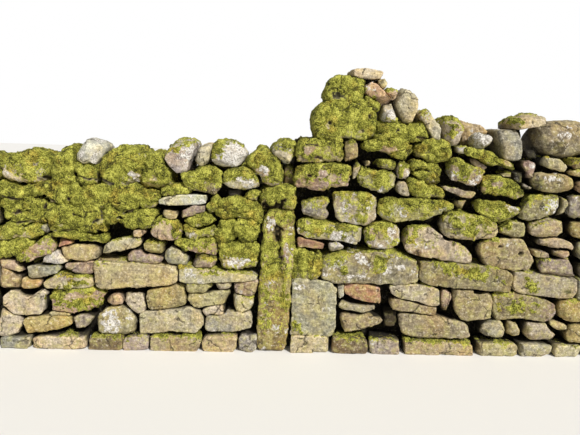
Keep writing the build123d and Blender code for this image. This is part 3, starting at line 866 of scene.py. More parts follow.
LEFT_UPPER = [
    ("olive", "pillow", 0.8, 0.0, [(-56, 184), (-30, 183), (-29, 201), (-56, 202)]),
    ("olive", "pillow", 0.9, 0.0, [(-27, 184), (-4, 184), (-3, 201), (-27, 202)]),
    ("olive", "pillow", 0.8, 0.1, [(-56, 206), (-35, 205), (-16, 206), (-14, 224), (-30, 226), (-56, 225)]),
    ("tan", "pillow", 0.5, 0.2, [(-12, 206), (-3, 205), (-2, 222), (-4, 226), (-11, 225)]),
    ("grey", "block", 0.4, 0.3, [(-56, 229), (-28, 228), (-26, 242), (-56, 243)]),
    ("tan", "block", 0.5, 0.2, [(-24, 229), (-3, 229), (-2, 240), (-8, 243), (-24, 242)]),
    ("grey", "slab", 0.35, 0.3, [(-56, 245), (-35, 244), (-16, 245), (-3, 244), (-2, 256), (-30, 257),
     (-56, 257)]),
    ("olive", "pillow", 1.0, 0.0, [(-1, 183), (8, 183), (15, 187), (22, 189), (35, 186), (48, 181), (50, 186),
     (48, 194), (40, 196), (32, 196.5), (23, 198), (15, 202), (8, 199.5), (3, 196), (-1, 195)]),
    ("olive", "pillow", 1.0, 0.0, [(49, 182), (58, 180), (68, 180), (75, 181), (76, 190), (74, 200),
     (68, 202), (60, 200), (54, 201), (48, 196), (47, 190)]),
    ("olive", "pillow", 1.0, 0.0, [(75, 180), (83, 180), (95, 183), (106, 187), (114, 189), (116, 196),
     (112, 203), (103, 206), (90, 207), (78, 205), (74, 198)]),
    ("olive", "pillow", 1.0, 0.1, [(115, 186), (122, 184), (130, 185), (137, 188), (141, 192), (142, 199),
     (138, 206), (134, 209), (128, 211), (120, 209), (113, 206), (112, 197)]),
    ("olive", "pillow", 0.8, 0.35, [(139, 190), (148, 190), (158, 193), (161, 197), (157, 202), (155, 208),
     (151, 209), (145, 208), (140, 204)]),
    ("olive", "pillow", 1.0, 0.0, [(0, 199), (7, 201), (15, 203), (22, 200), (26, 198), (36, 198), (43, 199),
     (45, 206), (42, 211), (30, 210), (24, 212), (14, 217), (5, 217.5), (3, 212), (1, 205)]),
    ("olive", "pillow", 0.95, 0.0, [(13, 219), (20, 214), (30, 210), (40, 210), (46, 215), (48, 221),
     (38, 223), (30, 222), (24, 225), (16, 225), (12, 223)]),
    ("light", "pillow", 0.75, 0.45, [(-1, 229), (6, 224), (13, 222), (18, 225), (25, 226), (33, 223),
     (40, 223), (43, 228), (42, 234), (37, 236), (30, 239), (22, 239), (12, 237), (5, 240), (-1, 241)]),
    ("grey", "block", 0.1, 0.2, [(42, 225), (45, 223.5), (48, 228), (49, 231), (46, 234), (42, 237),
     (41, 231)]),
    ("brown", "pillow", 0.9, 0.0, [(-1, 242), (6, 240), (14, 238), (22, 240), (30, 240), (33, 243), (30, 246),
     (20, 252), (16, 257), (14, 255.5), (5, 256), (-1, 257)]),
    ("pink", "block", 0.45, 0.2, [(15, 260), (20, 253), (30, 247), (38, 241), (44, 238), (50, 234), (52, 238),
     (56, 248), (52, 252), (46, 255), (38, 257), (30, 261), (24, 265), (17, 264)]),
    ("olive", "pillow", 1.0, 0.1, [(47, 214), (49, 207), (55, 204), (64, 205), (75, 208), (85, 208),
     (94, 208), (101, 209), (103, 214), (101, 222), (104, 227), (101, 231), (90, 231), (78, 231), (66, 230),
     (55, 232), (50, 229), (48, 221)]),
    ("olive", "pillow", 0.9, 0.3, [(53, 233), (60, 232), (70, 232), (80, 232), (86, 234), (94, 236),
     (101, 235), (104, 234), (107, 238), (105, 241), (100, 243), (90, 242), (82, 241), (74, 238), (66, 237.5),
     (57, 238), (54, 237)]),
    ("red", "block", 0.0, 0.0, [(56, 240), (62, 239), (70, 240.5), (73, 243), (66, 245.5), (58, 247),
     (57, 243)]),
    ("tan", "block", 0.0, 0.3, [(58.5, 249), (64, 247), (78, 245), (92, 246), (100, 249), (101, 258),
     (85, 260), (70, 258.5), (62, 256)]),
    ("white", "block", 0.0, 0.8, [(38, 260.5), (45, 256), (57, 250), (60, 255), (68, 259), (70, 260.5),
     (60, 264), (52, 267), (40, 265)]),
    ("olive", "pillow", 0.95, 0.0, [(104, 210), (108, 207), (114, 208), (120, 210), (127, 212), (127, 216),
     (120, 218), (117, 221), (112, 224), (106, 223), (104, 216)]),
    ("olive", "pillow", 0.9, 0.2, [(118, 221), (122, 217), (128, 213), (134, 210), (142, 209), (150, 209),
     (157, 211), (157, 217), (154, 222), (149, 228), (140, 228), (131, 227.5), (126, 225)]),
    ("pink", "block", 0.0, 0.0, [(131, 236), (134, 231), (140, 229), (144, 230), (146, 233), (143, 236),
     (137, 239), (132, 239)]),
    ("light", "slab", 0.05, 0.2, [(101, 250), (105, 245), (110, 242), (120, 240), (128, 238.5), (138, 238.5),
     (141, 241), (141, 245), (135, 248), (128, 249.5), (120, 252), (110, 253), (103, 254)]),
    ("purple", "block", 0.0, 0.1, [(126, 256), (131, 252), (139, 250), (145, 254.5), (155, 256.5), (163, 258),
     (164, 260), (160, 263.5), (156, 266), (148, 265.5), (138, 264), (128, 260.5)]),
    ("olive", "block", 0.3, 0.2, [(141, 247), (143, 243), (150, 242), (160, 244), (166, 247), (165, 252),
     (161, 255), (150, 254), (142, 250)]),
    ("grey", "round", 0.0, 0.25, [(165, 252), (168, 249), (172, 247.5), (178, 251), (185, 255), (190, 259),
     (190, 263), (186, 267), (178, 268), (170, 265), (165, 260), (164, 256)]),
    ("purple", "round", 0.22, 0.2, [(191, 261), (196, 257.5), (203, 256), (210, 257), (216, 259), (217, 265),
     (215, 267), (205, 268), (194, 268), (191, 265)]),
    ("pink", "block", 0.55, 0.25, [(149, 232), (153, 224), (156, 219), (159, 217.5), (164, 220), (170, 221),
     (177, 221.5), (181, 226), (182, 232), (182, 237), (177, 240), (170, 241.5), (160, 240.5), (152, 237)]),
    ("tan", "block", 0.0, 0.2, [(160.5, 214), (163, 211), (170, 210.5), (177, 211.5), (178, 215), (176, 219),
     (172, 220), (165, 218), (161, 216)]),
    ("purple", "block", 0.0, 0.1, [(178, 213), (186, 209), (195, 206), (205, 205.5), (206.5, 209), (204, 213),
     (196, 214), (188, 217), (180, 218)]),
    ("white", "slab", 0.0, 0.5, [(161, 198.5), (170, 196), (180, 195), (195, 194.5), (209, 195.5), (208, 202),
     (205, 204), (190, 204.5), (170, 205), (158, 204), (157, 201)]),
    ("olive", "pillow", 0.85, 0.1, [(162, 193), (164, 187), (170, 183.5), (180, 183.5), (186, 186),
     (189, 191), (187, 192.5), (178, 193.5), (170, 195), (164, 195)]),
    ("brown", "block", 0.6, 0.3, [(180, 180), (181, 172), (186, 168), (195, 168), (203, 166), (211, 167),
     (220, 172), (222, 177), (222, 186), (219, 192), (214, 194.5), (208, 193), (199, 191), (190, 189),
     (187, 185)]),
    ("olive", "pillow", 0.75, 0.6, [(208, 206), (210, 200), (215, 195.5), (218, 198), (220, 201), (219, 208),
     (216, 211), (210, 211), (208, 209)]),
    ("olive", "pillow", 1.0, 0.1, [(220, 202), (230, 201), (240, 200.5), (247, 203), (256, 204), (262, 207),
     (266, 211), (266, 217), (262, 220), (255, 218.5), (245, 218), (235, 216), (225, 216.5), (217, 215.5),
     (218, 209)]),
    ("grey", "block", 0.0, 0.1, [(226, 192), (236, 190.5), (244, 192), (244, 198), (238, 199),
     (229, 199)], dict(set_back=0.05)),
    ("olive", "pillow", 0.8, 0.1, [(245, 197), (250, 191.5), (256, 190), (262, 194), (264, 199), (258, 203),
     (250, 202), (245, 200)]),
    ("light", "round", 0.62, 0.75, [(223, 178), (226, 171), (234, 168.5), (242, 167), (248, 169), (254, 174),
     (258, 180), (260, 186), (254, 188), (245, 190), (235, 189), (226, 187), (223, 184)]),
    ("olive", "pillow", 0.95, 0.0, [(184, 222), (189, 217), (197, 213.5), (205, 213), (211, 216), (216, 221),
     (211, 223), (204, 225), (198, 228), (192, 226), (187, 223)]),
    ("olive", "pillow", 0.75, 0.3, [(183, 228), (186, 224), (192, 228), (198, 230), (206, 228), (214, 224.5),
     (217, 228), (216, 233), (212, 237), (203, 237), (196, 239), (187, 239), (184, 235)]),
    ("olive", "pillow", 1.0, 0.0, [(218, 228), (222, 223), (228, 221.5), (234, 224), (236, 230), (235, 236),
     (230, 240), (222, 242), (217, 238), (216, 233)]),
    ("pink", "pillow", 0.97, 0.1, [(237, 224), (240, 219.5), (248, 219.5), (256, 221), (265, 224), (267, 228),
     (264, 231), (262, 234), (259, 238.5), (252, 241), (244, 240), (237, 237)]),
    ("pink", "slab", 0.55, 0.2, [(174, 243), (178, 240.5), (185, 240), (196, 241), (206, 239), (214, 238),
     (216, 243), (217, 249), (218, 256), (212, 256), (206, 254), (196, 253), (188, 250), (181, 247)]),
    ("olive", "pillow", 0.8, 0.6, [(218, 256), (219, 247), (225, 243), (240, 241.5), (255, 242), (262, 243),
     (263, 262), (258, 266), (250, 268), (236, 268), (223, 267), (219, 264)]),
]

# %% Face stones of the right stretch
RIGHT_LOWER = [
    ("white", "block", 0.0, 0.3, [(333, 282), (337, 281.5), (343, 281), (344, 285), (344, 295), (343, 300),
     (340, 301), (337, 297), (334, 291), (333, 285)]),
    ("red", "block", 0.0, 0.0, [(345, 282), (352, 282), (360, 283.5), (370, 285.5), (380, 288), (382, 295),
     (383, 298), (380, 303), (368, 302), (360, 300), (353, 297), (345, 294.5), (344.5, 288)]),
    ("light", "slab", 0.0, 0.0, [(339, 305), (343, 301.5), (350, 304), (358, 305.5), (368, 306), (376, 306),
     (377, 309), (370, 311), (363, 313.5), (358, 312.5), (352, 310.5), (340, 310)]),
    ("tan", "block", 0.0, 0.1, [(340, 314), (345, 313), (352, 316), (360, 316.5), (367, 314), (372, 314),
     (375, 318), (383, 320), (384, 322), (380, 324), (370, 327), (362, 330), (352, 332), (345, 332),
     (341, 328), (339.5, 320)]),
    ("light", "slab", 0.16, 0.3, [(389, 287), (392, 283), (410, 283), (430, 284.5), (440, 290), (441, 300),
     (439, 306), (430, 306), (415, 301), (397, 298), (391, 293)]),
    ("tan", "slab", 0.0, 0.2, [(389, 300), (397, 299), (412, 302.5), (428, 307.5), (438, 307.5), (437, 315),
     (430, 315), (418, 312.5), (400, 311), (391, 309)]),
    ("tan", "round", 0.0, 0.25, [(398, 315), (404, 313.5), (413, 314), (430, 316), (441, 317.5), (452, 321),
     (462, 322), (468, 326), (471, 331), (468, 337), (440, 339), (415, 338), (402, 336), (399, 325)]),
    ("pink", "block", 0.0, 0.1, [(443, 290.5), (450, 290.5), (452.5, 294), (452.5, 297), (449, 304),
     (445, 313), (442.5, 314), (441.5, 305), (442, 295)]),
    ("tan", "block", 0.0, 0.1, [(454, 291), (460, 290.5), (472, 290), (475, 293), (480, 294), (491, 294),
     (493, 296), (492.5, 315), (490, 320), (484, 324), (478, 325), (472, 324), (467, 322), (461, 320),
     (457, 315), (454.5, 305), (453.5, 297)]),
    ("olive", "block", 0.20, 0.2, [(498, 291), (510, 291.5), (520, 293), (530, 296), (540, 298), (548, 300),
     (555, 304), (555, 313), (550, 320), (544, 323), (530, 320), (520, 319), (505, 321), (495, 320),
     (493, 315), (494, 299)]),
    ("brown", "block", 0.0, 0.0, [(385, 314), (390, 311), (398, 312), (399, 328),
     (386, 329)], dict(set_back=0.04)),
    ("ochre", "round", 0.1, 0.1, [(559, 303), (563, 300.5), (572, 299), (580, 298), (586, 301), (587, 322),
     (578, 324), (566, 322), (560, 318), (558, 310)]),
    ("light", "round", 0.0, 0.1, [(480, 331), (484, 326), (490, 321.5), (500, 321), (505, 322), (505, 337),
     (488, 338), (481, 335)]),
    ("tan", "round", 0.0, 0.1, [(507, 322), (510, 321.5), (516, 324), (520, 331), (523, 338), (507, 338)]),
    ("light", "round", 0.0, 0.2, [(525, 325), (530, 323), (540, 324), (547, 324), (549, 328), (553, 333),
     (558, 335), (557, 340), (528, 341), (524, 335)]),
    ("tan", "slab", 0.0, 0.0, [(550, 322), (555, 322), (562, 324), (568, 325.5), (566, 331), (562, 332.5),
     (557, 330), (552, 327)]),
    ("ochre", "block", 0.0, 0.1, [(565, 334), (570, 327), (576, 325), (587, 326), (588, 341), (567, 342)]),
    ("grey", "block", 0.1, 0.2, [(590, 301), (612, 299), (613, 322), (590, 323)]),
    ("tan", "block", 0.0, 0.2, [(616, 299), (645, 300), (645, 325), (616, 323)]),
    ("olive", "block", 0.0, 0.1, [(591, 326), (645, 328), (645, 344), (591, 342)]),
]
RIGHT_MIDDLE = [
    ("light", "block", 0.5, 0.7, [(296, 224), (300, 219.5), (306, 219), (325, 221.5), (332, 223.5),
     (350, 225.5), (364, 228.5), (363, 236), (361, 240), (357, 245.5), (350, 244), (344, 242), (336, 240.5),
     (320, 240), (305, 237), (297, 234)]),
    ("red", "slab", 0.0, 0.0, [(297, 239), (300, 238), (312, 240.5), (325, 244), (326, 247.5), (322, 249),
     (310, 248), (297, 247.5)]),
    ("white", "round", 0.1, 0.6, [(328, 244), (331, 242.5), (337, 241.5), (343, 245), (344.5, 249),
     (341, 253), (335, 254), (330, 252), (328, 249)]),
    ("light", "round", 0.5, 0.85, [(364, 232), (368, 227), (376, 223), (390, 223), (397, 224.5), (401, 229),
     (400, 238), (398, 245), (392, 250), (383, 252.5), (374, 251), (368, 246), (364.5, 239)]),
    ("light", "block", 0.36, 0.45, [(402, 234), (406, 228), (415, 227), (430, 226.5), (434, 228), (440, 234),
     (446, 241), (455, 243), (465, 247), (471, 251), (473, 257), (472, 263), (465, 264), (450, 262),
     (435, 259), (420, 257), (408, 252), (402, 245)]),
    ("light", "round", 0.4, 0.5, [(441, 218), (448, 214), (460, 212.5), (470, 214), (480, 217), (490, 220),
     (498, 224), (499.5, 229), (499, 235), (496, 239), (486, 239), (478, 240), (465, 241), (455, 240.5),
     (446, 238), (441, 232), (438, 226)]),
    ("tan", "block", 0.12, 0.4, [(480, 245), (488, 241.5), (500, 238.5), (515, 238.5), (523, 239.5),
     (527, 246), (529, 252), (532, 258), (534, 264), (531, 267), (527, 270), (515, 270.5), (500, 271),
     (490, 270.5), (484, 266), (479, 258), (477, 250)]),
    ("light", "slab", 0.0, 0.35, [(537, 240.5), (545, 239), (555, 238.5), (563, 239), (572, 243), (574, 248),
     (573, 250), (568, 250.5), (560, 249), (550, 248), (544, 246.5), (538, 244.5)]),
    ("pink", "slab", 0.0, 0.1, [(531, 251), (536, 250.5), (545, 252), (551, 255), (550, 258), (538, 257.5),
     (532, 255)]),
    ("pink", "round", 0.0, 0.3, [(552, 252), (556, 250.5), (563, 251), (573, 252), (571, 255), (567, 258.5),
     (559, 258.5), (554, 256)]),
    ("purple", "block", 0.1, 0.3, [(539, 261), (545, 260), (555, 260), (563, 259.5), (570, 259.5), (575, 263),
     (577.5, 272), (576, 277), (572, 278.5), (560, 277.5), (550, 277), (543, 275), (541, 270)]),
    ("olive", "block", 0.16, 0.2, [(500, 229), (506, 227), (513, 222.5), (523, 222.5), (527, 224.5),
     (527.5, 230), (525, 237), (515, 237.5), (505, 237), (500, 235)]),
    ("light", "round", 0.08, 0.3, [(530, 224), (540, 222), (545, 220), (550, 218), (556, 219.5), (560, 220.5),
     (564, 223), (566, 228), (563, 234), (559, 237), (548, 237.5), (538, 238), (531, 235), (529.5, 229)]),
    ("ochre", "round", 0.0, 0.1, [(572, 223), (580, 222), (596, 222), (599, 230), (597, 238), (582, 240),
     (573, 237), (571, 230)]),
    ("grey", "block", 0.1, 0.2, [(578, 243), (590, 241.5), (608, 242), (609, 252), (605, 261), (588, 262),
     (579, 259), (577, 250)]),
    ("tan", "block", 0.0, 0.2, [(611, 242), (645, 242), (645, 262), (625, 262), (612, 260)]),
    ("light", "block", 0.0, 0.2, [(580, 264), (595, 263.5), (612, 263.5), (614, 275), (608, 281), (590, 281),
     (580, 278)]),
    ("grey", "block", 0.0, 0.2, [(617, 264), (645, 264), (645, 284), (622, 284), (616, 278)]),
    ("grey", "block", 0.32, 0.6, [(301, 202), (306, 202), (313, 199), (320, 198), (328, 198.5), (328.5, 203),
     (325.5, 207), (326, 212), (328, 216), (326, 219), (320, 219.5), (310, 218), (304, 215), (301.5, 210)]),
    ("light", "block", 0.42, 0.8, [(333, 193), (336, 190), (342, 188.5), (350, 188.5), (360, 190), (367, 191),
     (372, 195), (377, 199), (378, 208), (376, 218), (371, 222), (368, 226), (360, 224.5), (350, 223.5),
     (340, 221), (336, 218), (334, 210), (332, 200)]),
    ("olive", "block", 0.55, 0.7, [(380, 201), (386, 199), (400, 200), (415, 200), (430, 200), (440, 202),
     (450, 203), (454, 206), (453, 209), (445, 211), (440, 215), (432, 216.5), (425, 219.5), (410, 221),
     (400, 222), (390, 222), (382, 220), (379, 212)]),
    ("tan", "block", 0.1, 0.1, [(456, 202), (460, 200.5), (467, 200.5), (468, 205), (466, 209), (460, 210),
     (456, 207)]),
    ("olive", "block", 0.62, 0.6, [(475, 205), (479, 201), (487, 201), (495, 202.5), (505, 204.5),
     (514, 206.5), (519, 209), (520, 214), (516, 219), (510, 221), (504, 223), (494, 221), (484, 216),
     (477, 212)]),
    ("olive", "block", 0.30, 0.50, [(520, 213), (524, 206), (529, 199), (533, 196), (545, 195), (555, 195.5),
     (560, 197), (560.5, 205), (558, 210), (553, 214), (548, 216), (540, 219), (530, 220.5), (521, 219)]),
    ("tan", "slab", 0.1, 0.1, [(563, 198), (566, 197), (568, 201), (568.5, 206), (565, 211), (561, 216),
     (559, 218), (560, 213), (563, 207)]),
    ("grey", "block", 0.05, 0.85, [(570, 198), (575, 196), (590, 196), (600, 196), (601, 210), (599, 219),
     (585, 220), (573, 219), (569, 214), (570, 207)]),
    ("tan", "block", 0.0, 0.3, [(603, 197), (620, 196), (645, 196), (645, 219), (620, 220), (603, 219)]),
    ("light", "block", 0.05, 0.2, [(602, 223), (622, 222), (645, 222), (645, 240), (622, 240), (602, 239)]),
]
RIGHT_UPPER = [
    ("tan", "pillow", 0.72, 0.15, [(292, 145), (300, 140), (315, 139), (335, 139), (344, 140), (344, 161),
     (335, 162), (320, 163), (305, 162.5), (294, 161), (291, 153)]),
    ("tan", "block", 0.15, 0.1, [(345, 140), (352, 140), (357, 143), (358, 150), (357.5, 160), (350, 162),
     (345, 161.5)]),
    ("pink", "pillow", 0.62, 0.3, [(290, 176), (294, 168), (300, 165), (315, 165), (333, 164.5), (345, 165.5),
     (351, 169), (350.5, 180), (349.5, 187), (340, 188), (330, 187), (325, 189.5), (318, 192), (312, 192),
     (305, 188.5), (296, 188), (290.5, 184)]),
    ("light", "block", 0.2, 0.3, [(360.5, 160), (361.5, 165), (359, 172), (356, 178), (353, 180), (352, 173),
     (354, 166), (357, 162)]),
    ("light", "round", 0.0, 0.2, [(362, 161.5), (365, 160.5), (371, 162), (372, 165), (369, 166.5),
     (363, 165.5)]),
    ("olive", "pillow", 0.6, 0.55, [(358, 171), (362, 168), (370, 170), (380, 170.5), (390, 171),
     (395, 174.5), (396, 180), (393, 185), (390, 190), (386, 193.5), (381, 194), (376, 192), (370, 190),
     (363, 187), (359, 181), (357, 175)]),
    ("brown", "block", 0.6, 0.2, [(374, 164), (380, 161), (390, 160), (396, 161), (396, 167), (394, 169.5),
     (386, 169), (376, 167.5)]),
    ("white", "round", 0.3, 0.8, [(397, 169), (399, 162), (403, 159.5), (408, 162), (408.5, 168), (411, 172),
     (410, 177), (404, 179.5), (398, 179), (396, 174)]),
    ("olive", "pillow", 0.9, 0.0, [(410, 163), (414, 160.5), (422, 162), (427, 164.5), (428, 167), (420, 170),
     (412, 169.5)]),
    ("olive", "pillow", 0.9, 0.1, [(412, 172), (420, 171), (428, 168.5), (432, 164), (438, 166), (441, 171),
     (440, 179), (437, 184), (430, 184), (424, 180), (415, 177)]),
    ("light", "block", 0.0, 0.2, [(395, 187), (399, 182.5), (404, 182), (408, 185.5), (411, 190), (412, 196),
     (406, 196), (400, 193.5), (396, 191)]),
    ("olive", "pillow", 0.85, 0.1, [(406, 181), (412, 180), (420, 181), (427, 185.5), (435, 186.5),
     (441, 190), (445, 195), (443, 198), (430, 198), (420, 198), (414, 196), (410, 189)]),
    ("pink", "block", 0.5, 0.65, [(450, 161), (458, 159), (466, 163), (475, 167.5), (483, 169.5), (485, 173),
     (484, 180), (480, 186), (476, 188.5), (470, 186.5), (465, 183.5), (458, 181), (451, 180), (449, 172)]),
    ("pink", "slab", 0.1, 0.2, [(440, 187), (445, 186), (455, 188.5), (465, 191), (473, 191.5), (476, 193),
     (473, 196.5), (470, 198), (462, 197), (452, 193), (443, 189.5)]),
    ("tan", "slab", 0.85, 0.1, [(463, 150), (470, 144), (480, 142), (492, 147), (500, 155), (508, 161),
     (513, 166), (514.5, 170), (508, 167), (500, 163), (495, 166), (488, 163), (478, 158), (468, 155)]),
    ("pink", "slab", 0.05, 0.1, [(472, 157), (477, 159.5), (484, 164), (490, 168), (487, 172), (478, 168),
     (472, 163)], dict(set_back=0.03)),
    ("pink", "block", 0.05, 0.3, [(525, 153), (530, 157), (534, 161), (536, 166), (537, 170), (534, 174),
     (533, 177), (530, 183), (529, 180), (528, 174), (525, 169), (523, 166), (524, 159)]),
    ("dark", "block", 0.0, 0.0, [(515, 172), (521, 168), (526, 174), (527, 181), (525, 184), (519, 183),
     (515, 179)], dict(set_back=0.03)),
    ("light", "block", 0.08, 0.1, [(541.5, 165), (545, 157), (560, 157.5), (564, 162), (567, 170), (566, 172),
     (558, 170.5), (550, 168), (543, 166)]),
    ("olive", "round", 0.0, 0.30, [(531, 180), (535, 174), (541, 172.5), (550, 174), (558, 173.5), (566, 174),
     (572, 177), (575, 182), (573, 188), (565, 192.5), (555, 193.5), (545, 192.5), (538, 190), (533, 187)]),
    ("pink", "block", 0.85, 0.1, [(485, 178), (492, 176.5), (500, 176), (508, 179), (515, 183), (520, 189),
     (526, 194), (527.5, 197), (525, 200), (515, 198), (505, 196), (495, 194), (486, 193), (482.5, 190),
     (484, 183)]),
    ("olive", "pillow", 0.95, 0.0, [(361, 143), (366, 139), (378, 136), (395, 136), (406, 139), (412, 146),
     (411, 154), (403, 158.5), (396, 157), (388, 153), (372, 151), (363, 149)]),
    ("olive", "pillow", 0.85, 0.1, [(414, 150), (420, 143), (430, 140), (442, 141), (450, 147), (453, 154),
     (449, 159), (440, 161.5), (428, 160.5), (417, 158)]),
    ("white", "round", 0.2, 0.5, [(455, 147), (460, 144), (468, 143), (475, 145), (478, 149), (474, 152.5),
     (464, 155), (456, 152)]),
    ("brown", "block", 0.6, 0.1, [(569, 158), (574, 156), (582, 155.5), (592, 157), (593, 166), (585, 169),
     (574, 168), (569, 165)]),
    ("tan", "slab", 0.15, 0.2, [(568, 171.5), (580, 170.5), (594, 172), (594, 177), (583, 177.5),
     (572, 175.5)]),
    ("grey", "block", 0.1, 0.3, [(596, 158), (615, 157), (645, 158), (645, 176), (618, 177.5), (597, 176)]),
    ("pink", "round", 0.0, 0.1, [(577, 185), (583, 180.5), (605, 180), (622, 180.5), (623, 193.5), (600, 194),
     (582, 193.5), (577, 190)]),
    ("tan", "block", 0.1, 0.1, [(626, 180), (645, 180), (645, 194), (626, 194)]),
    ("white", "block", 0.0, 0.2, [(525, 185.5), (528, 184.5), (531, 189), (530, 191.5), (527, 189.5)]),
    ("tan", "block", 0.3, 0.1, [(502, 174.5), (508, 171.5), (514, 172), (513.5, 177), (508, 177.5),
     (503, 177)]),
]
print(sum(map(len, (LEFT_LOWER, LEFT_FILLING, LEFT_UPPER, RIGHT_LOWER, RIGHT_MIDDLE, RIGHT_UPPER))),
      "face stones in the survey")
